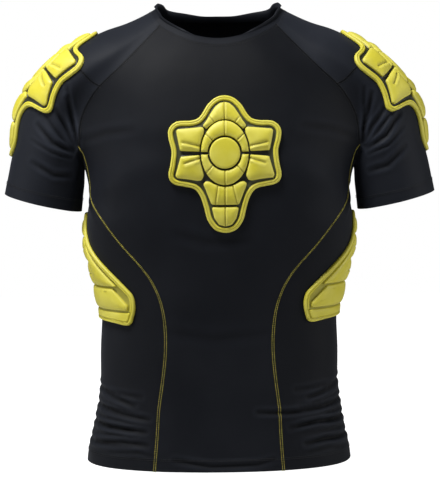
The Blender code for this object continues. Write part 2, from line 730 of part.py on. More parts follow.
def triangulate(loops, marks):
    points, heights, edges = [], [], []
    for loop, height in loops:
        first = len(points)
        for p in loop:
            points.append(Vector((float(p[0]), float(p[1]))))
            heights.append(height)
        count = len(loop)
        edges += [(first + k, first + (k + 1) % count) for k in range(count)]
    for p, height in marks:
        points.append(Vector((float(p[0]), float(p[1]))))
        heights.append(height)
    verts, _, faces, source, _, _ = delaunay_2d_cdt(points, edges, [], 0, 1e-5)
    outline = loops[0][0]
    known = []
    for k, v in enumerate(verts):
        if source[k]:
            known.append(heights[source[k][0]])
        else:
            near = min(range(len(points)), key=lambda i: (points[i] - v).length)
            known.append(heights[near])
    flat = np.array([(v.x, v.y) for v in verts])
    keep = []
    for f in faces:
        middle = flat[list(f)].mean(axis=0)
        if inside_distance(outline, middle) > 1e-4:
            keep.append(tuple(f))
    ring = {}
    for k, v in enumerate(verts):
        for s in source[k]:
            if s < len(outline):
                ring[s] = k
    return flat, known, keep, [ring[s] for s in range(len(outline))]


def bottom_grid(outline, spacing):
    fine = []
    low, high = outline.min(axis=0), outline.max(axis=0)
    rows = int((high[1] - low[1]) / spacing)
    for j in range(1, rows + 1):
        v = low[1] + j * (high[1] - low[1]) / (rows + 1)
        shift = 0.5 * spacing * (j % 2)
        for u in np.arange(low[0] + shift, high[0], spacing):
            if inside_distance(outline, np.array((u, v))) > 0.45 * spacing:
                fine.append((float(u), float(v)))
    return fine


def pad_solid(place, loops, marks, ground):
    """Closed pad: shaped top on the flat pattern, bottom following the cloth."""
    flat, heights, faces, ring = triangulate(loops, marks)
    outline = loops[0][0]
    low_flat, _, low_faces, low_ring = triangulate(
        [(outline, 0.0)], [(p, 0.0) for p in bottom_grid(outline, 14.5)])
    low = [place(u, v) for u, v in low_flat]
    base = np.array([p for p, _ in low])
    out = np.array([n for _, n in low])
    raise_by = np.full(len(base), LIFT)
    samples = [(a / 4, b / 4, 1 - (a + b) / 4) for a in range(5) for b in range(5 - a)]
    for _ in range(8):
        verts = base + out * raise_by[:, None]
        worst = np.zeros(len(base))
        for f in low_faces:
            tri = verts[list(f)]
            for w in samples:
                p = tri[0] * w[0] + tri[1] * w[1] + tri[2] * w[2]
                hit, normal, _, _ = ground.tree.find_nearest(Vector(p))
                gap = float((Vector(p) - hit).dot(normal))
                lack = 0.4 - gap
                if lack > 0:
                    for k, i in enumerate(f):
                        worst[i] = max(worst[i], lack * (0.4 + 0.6 * w[k]))
        if worst.max() < 0.02:
            break
        raise_by += worst
    low_verts = base + out * raise_by[:, None]
    match = {}
    for a, b in zip(ring, low_ring):
        match[a] = b
    verts = [tuple(p) for p in low_verts]
    index = {}
    for k, (u, v) in enumerate(flat):
        if k in match:
            index[k] = match[k]
            continue
        p, n = place(u, v)
        index[k] = len(verts)
        verts.append(tuple(p + n * (LIFT + heights[k])))
    solid = []
    for f in faces:
        solid.append(tuple(index[i] for i in f))
    for f in low_faces:
        solid.append(tuple(reversed(f)))
    return np.array(verts), solid


def face_outward(verts, solid):
    volume = 0.0
    for f in solid:
        a, b, c = (verts[i] for i in f[:3])
        volume += float(np.dot(a, np.cross(b, c)))
    return solid if volume > 0 else [tuple(reversed(f)) for f in solid]


for old in list(bpy.data.objects):
    bpy.data.objects.remove(old, do_unlink=True)

shirt, shirt_faces, shirt_owner = fitted_surface(1)
shirt = apply_folds(shirt, shirt_faces)
shirt_normals = point_normals(shirt, shirt_faces)
edge_owner = {}
for number, face in enumerate(shirt_faces):
    for corner in range(4):
        key = tuple(sorted((face[corner], face[(corner + 1) % 4])))
        edge_owner.setdefault(key, set()).add(shirt_owner[number])
SHARED_EDGES = {key for key, owners in edge_owner.items() if len(owners) > 1}

for number, name in enumerate(PIECES):
    members = [f for f in range(len(shirt_faces)) if shirt_owner[f] == number]
    piece_verts, piece_solid = cloth_piece(shirt, shirt_faces, shirt_normals, members)
    add_object(name, piece_verts, face_outward(piece_verts, piece_solid),
               (0.012, 0.013, 0.016), 0.85)

cloth = Ground(shirt, shirt_faces, shirt_normals)
PAD_COLOUR = (0.62, 0.57, 0.05)


def chest_place(u, v):
    return cloth.cast((CHEST_AT[0] + u, -260, CHEST_AT[1] + v), (0, 1, 0))


chest_loops, chest_marks = lobed_pattern(CHEST_SCALE)
pad_verts, pad_faces = pad_solid(chest_place, chest_loops, chest_marks, cloth)
add_object("chest_pad", pad_verts, face_outward(pad_verts, pad_faces), PAD_COLOUR, 0.6)

for label, side in (("left", 1), ("right", -1)):
    carrier = shoulder_carrier(cloth, side)
    tall = SHOULDER_SCALE[1]
    outer, drawn = SHOULDER_WINGS
    heights = (LOBED[-1][1] * tall, -outer, outer, LOBED[0][1] * tall)
    reaches = (-SHOULDER_DOWN[side], -drawn, drawn, SHOULDER_UP)

    def shoulder_place(u, v, carrier=carrier, boss=SHOULDER_BOSS[side], reaches=reaches):
        spread = 1 + SHOULDER_SPLAY * (u / 84) ** 2
        flare = 1 - SHOULDER_FLARE * max(-outer, min(outer, v))
        return carrier.place(boss - float(np.interp(v, heights, reaches)) * spread,
                             u * flare)

    loops, marks = lobed_pattern(SHOULDER_SCALE)
    pad_verts, pad_faces = pad_solid(shoulder_place, loops, marks, cloth)
    add_object("shoulder_pad_" + label, pad_verts, face_outward(pad_verts, pad_faces),
               PAD_COLOUR, 0.6)

    ribs = rib_carrier(cloth, side)

    def rib_place(u, v, ribs=ribs, up=RIB_UP[side]):
        rise = up[1] + (up[0] - up[1]) * (v - RIB[-1][1]) / (RIB[0][1] - RIB[-1][1])
        return ribs.place(-262 - v - rise, u)

    loops, marks = rib_pattern()
    pad_verts, pad_faces = pad_solid(rib_place, loops, marks, cloth)
    add_object("side_pad_" + label, pad_verts, face_outward(pad_verts, pad_faces),
               PAD_COLOUR, 0.6)

for item in bpy.data.objects:
    print(item.name, len(item.data.polygons))
print("triangles", sum(len(o.data.polygons) for o in bpy.data.objects))
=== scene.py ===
# Padded compression shirt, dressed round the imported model. The front faces -Y, +Z is up.
# Lengths are millimetres until a mesh is written out in metres.
import bpy
import math
import numpy as np
from mathutils import Matrix, Vector, noise
from mathutils.bvhtree import BVHTree
from mathutils.geometry import delaunay_2d_cdt
from mathutils.kdtree import KDTree


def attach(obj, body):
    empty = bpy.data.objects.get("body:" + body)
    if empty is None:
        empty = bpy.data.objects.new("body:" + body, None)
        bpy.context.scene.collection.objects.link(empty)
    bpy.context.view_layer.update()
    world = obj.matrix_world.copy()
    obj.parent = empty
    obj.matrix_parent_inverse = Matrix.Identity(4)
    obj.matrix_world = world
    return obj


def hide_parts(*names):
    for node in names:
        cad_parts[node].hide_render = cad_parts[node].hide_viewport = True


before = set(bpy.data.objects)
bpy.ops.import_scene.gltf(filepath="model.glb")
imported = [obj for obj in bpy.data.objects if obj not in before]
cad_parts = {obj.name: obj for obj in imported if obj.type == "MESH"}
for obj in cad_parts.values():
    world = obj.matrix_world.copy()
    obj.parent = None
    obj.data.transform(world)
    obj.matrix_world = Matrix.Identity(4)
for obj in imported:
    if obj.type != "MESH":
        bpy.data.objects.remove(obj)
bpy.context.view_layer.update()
print("frame loaded:", len(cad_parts), "nodes")

metres = 0.001

# What a user would change about the cloth
clothValues = {
    "levels": 4,    # subdivision of the net
    "wall": 1.5,
    "seamGap": 0.12,          # each piece stops this far before its seam line
    "collarGap": 0.06,
    "sideGap": 0.08,          # under the side seams' stitches
    "collarWall": 2.3,
    "hemBand": 19.0,          # turned-up hem and cuffs
    "hemStep": 0.25,          # how far the turned-up cloth stands out
    "hemSlope": 1.5,          # over what distance
    "ripple": 0.35,           # slow unevenness of the cloth
    "rippleScale": (0.021, 0.06), "finerRipple": 0.35,
    "foldDepth": 1.0,         # all folds together
    "foldWidth": 0.52,
    "finestFold": 2.2,
    # painted shade in the folds' creases and painted light on their lips
    "creaseShade": 0.8, "lipShade": 1.5,
    # painted shade along the raglan and arm seams
    "seamShade": (0.75, 1.5),  # how dark, over what distance
    "lean": 4.5,              # the hem hangs this far towards the wearer's right
    "leanRun": (250, 370),    # the drop at which that starts, and its run
    "underarmSweep": (5, 30),  # inward and downward sweep of the underarm line
    "cuff": (256, 1, -252, 55.5, 59, 13.5),  # centre x, y, z, half width, half depth, tilt
    "cuffOuter": 132,         # half the angle of a cuff's outer part
    "yokeRow": 3,
    "collar": (8.5, 3.5),     # band height and inward lean
    # extra band height at the net's points from the shoulder line to the back
    "collarRise": (-3.5, 0.5, 3.0, 4.5, 4.5, 2.5),
}

# One fold, in half widths unless said otherwise
foldValues = {
    "step": 2.5,              # millimetres between the points of its line
    "reach": 4.5,
    "lipAt": 2.1, "lip": 0.5,
    "shadeWidth": 0.75, "shadeLip": 0.4,
    "fullShade": 2.4,         # millimetres: a fold this deep is shaded fully
    "overrun": 0.06,          # shares of its length, as are the next two
    "startRun": 0.25, "endRun": 0.35,
}

# z, fullness of the torso section
fullness = [(-200, 3.2), (-250, 3.0), (-304, 2.6), (-346, 2.35), (-626, 2.35)]
# z, half width, front depth, back depth of the torso below the arms
torsoTable = [
    (-200, 188, 124, 122), (-225, 186, 122, 121), (-250, 187, 121, 119),
    (-268, 190.5, 119, 117), (-285, 193, 117, 115), (-304, 192, 115, 113),
    (-339, 185, 110, 108), (-378, 175, 105, 102), (-406, 170.5, 103, 98),
    (-425, 171, 101, 96), (-465, 173, 100, 96), (-507, 173, 100, 99),
    (-526, 174.5, 101, 102), (-545, 177, 103, 105), (-567, 181.5, 105, 109),
    (-586, 185, 107, 112), (-606, 190, 110, 116), (-628, 193, 112, 118),
]
# z, distance of the front and back panel seams from the middle
seamTable = [
    (-200, 184.5), (-234, 183), (-250, 178), (-268, 169), (-303, 142), (-346, 104),
    (-384, 84), (-435, 74), (-480, 77), (-540, 85), (-590, 88), (-628, 91),
]
# front height, side height of each row of the torso net below the arms
rowTable = [
    (-200, -226), (-234, -248), (-270, -270), (-308, -308), (-346, -346),
    (-384, -384), (-422, -422), (-462, -462), (-500, -500),
    (-521, -521), (-542, -542), (-563, -563), (-584, -584), (-605, -605),
    (-628, -628),
]
# raglan front x, y, z; shoulder line x, y, z; raglan back x, y, z; arc half angle
raglanTable = [
    ((199, -50, -171), (294.5, 3, -160), (199, 52, -171), 130),
    ((196, -54, -136), (290, 4, -122.5), (194, 63, -138), 120),
    ((184, -60, -108), (267.5, 5, -80), (181, 75, -110), 110),
    ((167, -68, -85), (223.5, 6, -37.5), (162, 84, -84), 100),
    ((143, -70, -63), (167, 7, -7), (138, 86, -56), 88),
    ((117.5, -62, -37.5), (132, 8, 5), (112, 78, -26), 76),
    ((82, -44, 0), (95, 8, 22.5), (77, 60, 11), 68),
]
# middle of each row above the arms: front y, front z, back y, back z
middleTable = [
    (-124, -175, 122, -172), (-121, -153, 121, -138), (-115, -130, 117, -105),
    (-107, -104, 110, -73), (-98, -78, 99, -43), (-87, -52, 86, -15),
    (-75, -28, 71, 8),
]

# Folds: face, points, half width, depth. Points are x, z on the front and back and
# y, z on the sides; left and right are the wearer's.
foldTable = [
    ("front", ((-166, -524), (-148, -530), (-124, -538)), 6, 2.6),
    ("front", ((-170, -546), (-140, -551), (-104, -556)), 6, 2.8),
    ("front", ((-176, -570), (-140, -572), (-108, -574)), 6, 2.8),
    ("front", ((-180, -594), (-140, -590), (-106, -592)), 6, 2.6),
    ("front", ((166, -516), (146, -522), (124, -528)), 6, 2.6),
    ("front", ((172, -540), (140, -545), (96, -548), (52, -546)), 6, 2.8),
    ("front", ((176, -566), (136, -562), (98, -570)), 6, 2.6),
    ("front", ((182, -592), (146, -588), (120, -594)), 6, 2.2),
    ("front", ((-66, -612), (-14, -620), (50, -618), (72, -612)), 6, 1.8),
    ("back", ((168, -520), (140, -530), (104, -534)), 6, 2.6),
    ("back", ((172, -548), (136, -556), (92, -558)), 6.5, 2.8),
    ("back", ((178, -574), (146, -578), (100, -588)), 6, 2.6),
    ("back", ((-166, -526), (-142, -532), (-98, -540)), 6, 2.8),
    ("back", ((-174, -556), (-132, -560), (-88, -570)), 6.5, 2.6),
    ("back", ((-182, -586), (-150, -590), (-108, -588)), 6, 2.4),
    ("back", ((-150, -486), (-110, -498), (-62, -500)), 7.5, 2.0),
    ("back", ((140, -480), (106, -492), (58, -497)), 7.5, 2.0),
    ("front", ((-201, -168), (-206, -146), (-214, -102)), 5.5, 2.4),
    ("front", ((-205, -172), (-213, -150), (-230, -118)), 5.5, 2.4),
    ("front", ((-207, -178), (-234, -164), (-256, -138)), 6, 2.4),
    ("front", ((-212, -212), (-234, -210), (-264, -192)), 6.5, 1.8),
    ("front", ((203, -166), (208, -140), (216, -98)), 5.5, 2.4),
    ("front", ((206, -170), (216, -146), (234, -120)), 5.5, 2.4),
    ("front", ((210, -176), (236, -158), (256, -126)), 6, 2.4),
    ("front", ((214, -208), (238, -200), (264, -174)), 6.5, 1.8),
    ("back", ((-203, -168), (-214, -142), (-232, -112)), 6, 2.4),
    ("back", ((-208, -178), (-236, -166), (-262, -140)), 6, 2.2),
    ("back", ((203, -168), (212, -146), (228, -108)), 6, 2.4),
    ("back", ((208, -180), (238, -170), (262, -146)), 6, 2.2),
    # the waist creases carry on round the sides
    ("right", ((-84, -525), (-30, -519), (24, -518), (70, -524)), 6, 1.7),
    ("right", ((-84, -546), (-26, -542), (30, -546), (76, -552)), 6, 1.6),
    ("right", ((-86, -571), (-24, -567), (30, -570), (78, -576)), 6, 1.8),
    ("right", ((-88, -596), (-20, -595), (36, -592), (84, -589)), 6, 1.4),
    ("left", ((-84, -517), (-30, -511), (26, -511), (70, -518)), 6, 1.6),
    ("left", ((-84, -541), (-26, -537), (34, -541), (76, -546)), 6, 1.7),
    ("left", ((-88, -566), (-24, -562), (32, -566), (80, -572)), 6, 1.7),
    ("left", ((-88, -592), (-24, -589), (36, -591), (84, -596)), 6, 1.4),
    # finer creases between the main ones
    ("front", ((-199, -171), (-205, -142), (-213, -85)), 4.5, 1.7),
    ("front", ((-206, -175), (-222, -158), (-243, -128)), 4.5, 1.5),
    ("front", ((-210, -186), (-236, -178), (-266, -160)), 4.5, 1.2),
    ("front", ((204, -164), (206, -130), (205, -90)), 4.5, 1.5),
    ("front", ((208, -173), (226, -150), (246, -123)), 4.5, 1.6),
    ("front", ((212, -184), (238, -172), (262, -146)), 4.5, 1.3),
    ("front", ((-172, -535), (-150, -540), (-132, -547)), 3.6, 0.9),
    ("front", ((-174, -558), (-148, -561), (-118, -565)), 3.8, 1.0),
    ("front", ((-178, -582), (-150, -581), (-122, -583)), 3.8, 0.9),
    ("front", ((-160, -606), (-120, -603), (-98, -607)), 4.5, 1.0),
    ("front", ((172, -528), (150, -533), (128, -537)), 3.6, 0.8),
    ("front", ((176, -553), (150, -553), (118, -556)), 3.8, 1.0),
    ("front", ((180, -579), (158, -576), (132, -581)), 3.8, 0.8),
    ("front", ((184, -606), (150, -602), (122, -606)), 4.5, 0.9),
    ("front", ((-196, -182), (-193, -215), (-182, -258)), 7, 1.2),
    ("front", ((196, -182), (190, -222), (178, -262)), 7, 1.2),
    ("front", ((-190, -160), (-158, -150), (-120, -146)), 9, 0.9),
    ("front", ((190, -160), (160, -148), (118, -142)), 9, 0.9),
    ("front", ((-60, -290), (-20, -302), (40, -300)), 12, 0.7),
    ("front", ((-70, -430), (-10, -440), (62, -434)), 12, 0.6),
    ("back", ((-190, -176), (-140, -190), (-84, -196)), 10, 1.1),
    ("back", ((190, -176), (142, -188), (88, -194)), 10, 1.1),
    ("back", ((-60, -420), (0, -432), (58, -420)), 12, 0.9),
]

pieceNames = [
    "front_panel", "back_panel", "side_panel_left", "side_panel_right",
    "sleeve_left", "sleeve_right", "shoulder_yoke_left", "shoulder_yoke_right",
    "collar",
]
(frontPiece, backPiece, sideLeft, sideRight, sleeveLeft, sleeveRight, yokeLeft, yokeRight,
 collarPiece) = range(len(pieceNames))
bodyPieces, sidePieces = (frontPiece, backPiece), (sideLeft, sideRight)
armPieces = (sleeveLeft, sleeveRight, yokeLeft, yokeRight)

# Seams, as pairs of the pieces that they join
sidePairs = [(body, side) for body in bodyPieces for side in sidePieces]
raglanPairs = [(body, arm) for body in bodyPieces for arm in armPieces]
armPairs = [(sleeveLeft, yokeLeft), (sleeveRight, yokeRight), (sideLeft, sleeveLeft),
            (sideRight, sleeveRight)]
collarPairs = [(other, collarPiece) for other in bodyPieces + (yokeLeft, yokeRight)]

# painted light: how light each piece's knit is drawn beside the others, the yokes and sleeves
# that face the key light lighter and the side panels turned from it darker
paintedPieceLight = [0.80, 0.85, 0.66, 0.66, 1.30, 1.30, 1.36, 1.36, 0.9]
# drop below the collar, lightness: the body panels are drawn a little darker towards the neck
bodyTone = ((60, 220, 420), (0.66, 1.16, 1.02))


def piecewise(table, z, column):
    rows = sorted(table)
    return float(np.interp(z, [r[0] for r in rows], [r[column] for r in rows]))


def torsoSection(zFront, zSide, columns=6, samples=240):
    half = piecewise(torsoTable, zSide, 1)
    front = piecewise(torsoTable, zFront, 2)
    back = piecewise(torsoTable, zFront, 3)
    seam = piecewise(seamTable, zFront, 1)
    power = piecewise(fullness, zSide, 1)
    cut = math.acos(min(1.0, seam / half) ** (power / 2))
    spans = [(-math.pi + cut, -cut), (-cut, cut), (cut, math.pi - cut),
             (math.pi - cut, math.pi + cut)]
    ring = []
    for low, high in spans:
        t = np.linspace(low, high, samples)
        c, s = np.cos(t), np.sin(t)
        x = half * np.sign(c) * np.abs(c) ** (2 / power)
        y = np.where(s < 0, front, back) * np.sign(s) * np.abs(s) ** (2 / power)
        run = np.concatenate([[0], np.cumsum(np.hypot(np.diff(x), np.diff(y)))])
        at = np.linspace(0, run[-1], columns + 1)[:-1]
        px, py = np.interp(at, run, x), np.interp(at, run, y)
        pz = zFront + (zSide - zFront) * (np.abs(px) / half) ** 4
        start, length = clothValues["leanRun"]
        lean = clothValues["lean"] * min(1.0, max(0.0, (-zFront - start) / length))
        ring += list(zip(px - lean, py, pz))
    return ring


def shoulderArc(row, side, columns=8):
    front, top, back, halfAngle = raglanTable[row]
    f, t, b = (np.array(p, float) for p in (front, top, back))
    tau = math.radians(halfAngle)
    middle, reach = (f + b) / 2, (b - f) / 2
    points = []
    for k in range(columns + 1):
        a = -tau + 2 * tau * k / columns
        rise = (math.cos(a) - math.cos(tau)) / (1 - math.cos(tau))
        p = middle + (t - middle) * rise + reach * math.sin(a) / math.sin(tau)
        points.append((side * p[0], p[1], p[2]))
    return points


def underarmLine(side, columns=6):
    front, _, back, _ = raglanTable[0]
    inward, downward = clothValues["underarmSweep"]
    points = []
    for k in range(columns + 1):
        u = -1 + 2 * k / columns
        dip = (1 - u * u) ** 0.8
        points.append((side * (front[0] - inward * dip),
                       front[1] + (back[1] - front[1]) * k / columns,
                       front[2] - downward * dip))
    return points


def cuffRing(side, outer=8, under=6):
    cx, cy, cz, rx, ry, tilt = clothValues["cuff"]
    tau = math.radians(clothValues["cuffOuter"])
    angles = [-tau + 2 * tau * k / outer for k in range(outer + 1)]
    angles += [tau + 2 * (math.pi - tau) * k / under for k in range(1, under)]
    points = []
    for a in angles:
        x, y = rx * math.cos(a), ry * math.sin(a)
        z = x * math.tan(math.radians(tilt)) - max(0.0, -math.sin(a))
        points.append((side * (cx + x), cy + y, cz + z))
    return points


def buildNet():
    points, quads, owner = [], [], []

    def add(p):
        points.append(p)
        return len(points) - 1

    def quad(a, b, c, d, piece):
        quads.append((a, b, c, d))
        owner.append(piece)

    below = [[add(p) for p in torsoSection(zf, zs)] for zf, zs in rowTable]
    arcs, unders = {}, {}
    for side in (-1, 1):
        arcs[side] = [[add(p) for p in shoulderArc(r, side)] for r in range(7)]
        line = underarmLine(side)
        unders[side] = [arcs[side][0][0]] + [add(p) for p in line[1:-1]] \
            + [arcs[side][0][8]]
    fronts, backs = [], []
    for r in range(7):
        f, _, b, _ = raglanTable[r]
        fy, fz, by, bz = middleTable[r]
        rowF, rowB = [arcs[-1][r][0]], [arcs[1][r][8]]
        for j in range(1, 6):
            u = -1 + j / 3
            rowF.append(add((f[0] * u, f[1] + (fy - f[1]) * (1 - abs(u) ** 2.8),
                             f[2] + (fz - f[2]) * (1 - u * u))))
            rowB.append(add((-b[0] * u, b[1] + (by - b[1]) * (1 - abs(u) ** 2.8),
                             b[2] + (bz - b[2]) * (1 - u * u))))
        fronts.append(rowF + [arcs[1][r][0]])
        backs.append(rowB + [arcs[-1][r][8]])
    # torso rings run right front seam, front, left side, back, right side
    armpit = fronts[0] + unders[1][1:] + backs[0][1:] + unders[-1][::-1][1:-1]
    rings = [armpit] + below
    for upper, lower in zip(rings, rings[1:]):
        for c in range(24):
            n = (c + 1) % 24
            piece = (frontPiece, sideLeft, backPiece, sideRight)[c // 6]
            quad(lower[c], lower[n], upper[n], upper[c], piece)
    for rows, piece in ((fronts, frontPiece), (backs, backPiece)):
        for low, high in zip(rows, rows[1:]):
            for c in range(6):
                quad(low[c], low[c + 1], high[c + 1], high[c], piece)
    for side, sleeve, yoke in ((1, sleeveLeft, yokeLeft), (-1, sleeveRight, yokeRight)):
        arc = arcs[side]
        for r in range(6):
            piece = sleeve if r < clothValues["yokeRow"] else yoke
            for c in range(8):
                face = (arc[r][c], arc[r][c + 1], arc[r + 1][c + 1], arc[r + 1][c])
                quad(*(face if side == 1 else face[::-1]), piece)
        upper = arc[0] + unders[side][::-1][1:-1]
        last = cuffRing(side)
        start = [points[i] for i in upper]
        previous = upper
        for step in (1, 2, 3):
            f = step / 3
            ring = [add(tuple(a + (b - a) * f for a, b in zip(p, q)))
                    for p, q in zip(start, last)]
            for c in range(14):
                n = (c + 1) % 14
                face = (ring[c], ring[n], previous[n], previous[c])
                quad(*(face if side == 1 else face[::-1]), sleeve)
            previous = ring
    neck = fronts[6] + arcs[1][6][1:] + backs[6][1:] + arcs[-1][6][::-1][1:-1]
    height, inset = clothValues["collar"]
    leaning, rise = [], clothValues["collarRise"]
    for k, i in enumerate(neck):
        p = np.array(points[i], float)
        inward = np.array((-p[0], -p[1], 0.0)) / (np.hypot(p[0], p[1]) + 1e-9)
        # the shoulder lines meet the ring at its points 10 and 24
        back = k - 10 if k <= 17 else 24 - k
        more = rise[back] if 0 <= back < len(rise) else 0
        leaning.append(add(tuple(p + inward * inset + np.array((0, 0, height + more)))))
    for c in range(28):
        n = (c + 1) % 28
        quad(neck[c], neck[n], leaning[n], leaning[c], collarPiece)
    return np.array(points, float), quads, owner


def newObject(name, data):
    obj = bpy.data.objects.new(name, data)
    bpy.context.scene.collection.objects.link(obj)
    return obj


def smoothNet(points, quads, owner, levels):
    mesh = bpy.data.meshes.new("net")
    mesh.from_pydata([tuple(p) for p in points], [], quads)
    mesh.polygons.foreach_set("material_index", owner)
    net = newObject("net", mesh)
    smooth = net.modifiers.new("smooth", "SUBSURF")
    smooth.levels = smooth.render_levels = levels
    smooth.use_limit_surface = True
    bpy.context.view_layer.update()
    shaped = net.evaluated_get(bpy.context.evaluated_depsgraph_get())
    result = shaped.to_mesh()
    out = np.empty(len(result.vertices) * 3)
    result.vertices.foreach_get("co", out)
    corners = np.empty(len(result.loops), dtype=np.int32)
    result.loops.foreach_get("vertex_index", corners)
    index = np.empty(len(result.polygons), dtype=np.int32)
    result.polygons.foreach_get("material_index", index)
    shaped.to_mesh_clear()
    bpy.data.objects.remove(net, do_unlink=True)
    bpy.data.meshes.remove(mesh)
    return out.reshape(-1, 3), corners.reshape(-1, 4), index


def fittedSurface(levels):
    target, quads, owner = buildNet()
    control = target.copy()
    for _ in range(5):
        smooth, _, _ = smoothNet(control, quads, owner, 1)
        control += target - smooth[:len(target)]
    return smoothNet(control, quads, owner, levels)


def pointNormals(points, quads):
    a = points[quads[:, 2]] - points[quads[:, 0]]
    b = points[quads[:, 3]] - points[quads[:, 1]]
    cross = np.cross(a, b)
    cross /= np.linalg.norm(cross, axis=1)[:, None] + 1e-12
    total = np.zeros_like(points)
    for k in range(4):
        np.add.at(total, quads[:, k], cross)
    return total / np.linalg.norm(total, axis=1)[:, None]


def treeOf(points, faces):
    return BVHTree.FromPolygons([tuple(p) for p in points],
                                [tuple(int(i) for i in f) for f in faces], epsilon=0.0)


# start and direction of the ray that finds a fold's point on its face
def foldRay(face, across, height):
    way = 1 if face in ("front", "right") else -1
    if face in ("front", "back"):
        return Vector((across, -300 * way, height)), Vector((0, way, 0))
    return Vector((-400 * way, across, height)), Vector((way, 0, 0))


def applyFolds(points, quads):
    step, reachOf, lipAt = (foldValues[k] for k in ("step", "reach", "lipAt"))
    overrun, shadeWidth = foldValues["overrun"], foldValues["shadeWidth"]
    normals = pointNormals(points, quads)
    tree = treeOf(points, quads)
    shift, shade = np.zeros(len(points)), np.zeros(len(points))
    for face, line, width, depth in foldTable:
        width = max(clothValues["finestFold"], width * clothValues["foldWidth"])
        path = []
        for (x0, z0), (x1, z1) in zip(line, line[1:]):
            steps = max(2, int(math.hypot(x1 - x0, z1 - z0) / step))
            for k in range(steps + 1):
                f = k / steps
                hit = tree.ray_cast(*foldRay(face, x0 + (x1 - x0) * f,
                                             z0 + (z1 - z0) * f))[0]
                if hit is not None:
                    path.append(tuple(hit))
        if len(path) < 3:
            continue
        path = np.array(path)
        reach = width * reachOf
        near = np.flatnonzero(((points > path.min(axis=0) - reach)
                               & (points < path.max(axis=0) + reach)).all(axis=1))
        if not len(near):
            continue
        gap = np.linalg.norm(points[near][:, None, :] - path[None, :, :], axis=2)
        nearest = gap.argmin(axis=1)
        distance = gap[np.arange(len(near)), nearest]
        along = nearest / (len(path) - 1)
        taper = np.sqrt(np.clip(np.minimum((along + overrun) / foldValues["startRun"],
                                           (1 + overrun - along) / foldValues["endRun"]),
                                0, 1))
        # a crease with a soft ridge beside it, fading towards its ends
        ridge = np.exp(-((distance - lipAt * width) / width) ** 2)
        shape = np.exp(-(distance / width) ** 1.5) - foldValues["lip"] * ridge
        shift[near] -= clothValues["foldDepth"] * depth * shape * taper
        # painted shade down the crease and painted light along its lip, for the cloth's tone
        strength = min(1.0, depth / foldValues["fullShade"]) * taper
        shade[near] += strength * (np.exp(-(distance / (shadeWidth * width)) ** 2)
                                   - foldValues["shadeLip"] * ridge)
    return points + normals * shift[:, None], np.clip(shade, -1, 1)


def slowRipple(points, normals):
    size, (coarse, fine) = clothValues["ripple"], clothValues["rippleScale"]
    finer = clothValues["finerRipple"]
    lift = [noise.noise(Vector(p) * coarse) * size
            + noise.noise(Vector(p) * fine + Vector((9, 4, 2))) * size * finer
            for p in points]
    return points + normals * np.array(lift)[:, None]


surface, surfaceQuads, surfaceOwner = fittedSurface(clothValues["levels"])
surface, foldShade = applyFolds(surface, surfaceQuads)
surface = slowRipple(surface, pointNormals(surface, surfaceQuads))
surfaceNormals = pointNormals(surface, surfaceQuads)
print("cloth surface:", len(surfaceQuads), "quads")


# Edges of the surface, who owns them, and the chains that they make
edgeOwners = {}
for number, face in enumerate(surfaceQuads.tolist()):
    for corner in range(4):
        a, b = face[corner], face[(corner + 1) % 4]
        edgeOwners.setdefault((min(a, b), max(a, b)), []).append(int(surfaceOwner[number]))


def chainsOf(edges):
    beside = {}
    for a, b in edges:
        beside.setdefault(a, []).append(b)
        beside.setdefault(b, []).append(a)
    left = {frozenset(e) for e in edges}
    chains = []
    starts = sorted(v for v in beside if len(beside[v]) == 1) + sorted(beside)
    for start in starts:
        chain = [start]
        while True:
            step = [n for n in beside[chain[-1]] if frozenset((chain[-1], n)) in left]
            if not step:
                break
            left.discard(frozenset((chain[-1], step[0])))
            chain.append(step[0])
        if len(chain) > 2:
            chains.append(chain)
    return chains


def seamChains(pairs):
    wanted = {frozenset(p) for p in pairs}
    return chainsOf([e for e, o in edgeOwners.items()
                     if len(o) == 2 and frozenset(o) in wanted])


openEdges = chainsOf([e for e, o in edgeOwners.items() if len(o) == 1])
hemLoop = min(openEdges, key=lambda c: surface[c][:, 2].mean())
neckLoop = max(openEdges, key=lambda c: surface[c][:, 2].mean())
cuffLoops = [c for c in openEdges if c is not hemLoop and c is not neckLoop]
print("open edges:", len(openEdges), "loops")


def distanceTo(points, chain):
    tree = KDTree(len(chain))
    for k, v in enumerate(chain):
        tree.insert(Vector(surface[v]), k)
    tree.balance()
    return np.array([tree.find(Vector(p))[2] for p in points])


darkSeams = seamChains(raglanPairs + armPairs)
seamDistance = distanceTo(surface, [v for chain in darkSeams for v in chain])
hemDistance = distanceTo(surface, hemLoop)
for loop in cuffLoops:
    hemDistance = np.minimum(hemDistance, distanceTo(surface, loop))
hemRaise = clothValues["hemStep"] * np.clip(
    (clothValues["hemBand"] - hemDistance) / clothValues["hemSlope"] + 0.5, 0, 1)


def writeMesh(name, verts, faces, smoothAngle=None, attributes=(), uv=None):
    mesh = bpy.data.meshes.new(name)
    mesh.from_pydata([tuple(float(c) * metres for c in v) for v in verts], [], faces)
    mesh.validate()
    mesh.update()
    mesh.polygons.foreach_set("use_smooth", [True] * len(mesh.polygons))
    if smoothAngle:
        mesh.set_sharp_from_angle(angle=math.radians(smoothAngle))
    for label, values in attributes:
        layer = mesh.attributes.new(label, "FLOAT", "POINT")
        layer.data.foreach_set("value", np.asarray(values, dtype=np.float32))
    if uv is not None:
        layer = mesh.uv_layers.new(name="weave")
        flat = np.array([uv[k] for k in range(len(uv))], dtype=np.float32)
        corners = np.empty(len(mesh.loops), dtype=np.int32)
        mesh.loops.foreach_get("vertex_index", corners)
        layer.data.foreach_set("uv", flat[corners].ravel())
    return newObject(name, mesh)


# The axis and mean radius that the knit turns about, in metres, for the wearer's left
knitValues = {
    "sleeve": ((0.10, 0.005, -0.03), (0.262, 0, -0.26)), "sleeveRadius": 0.06,
    "bodyRadius": 0.15,
}


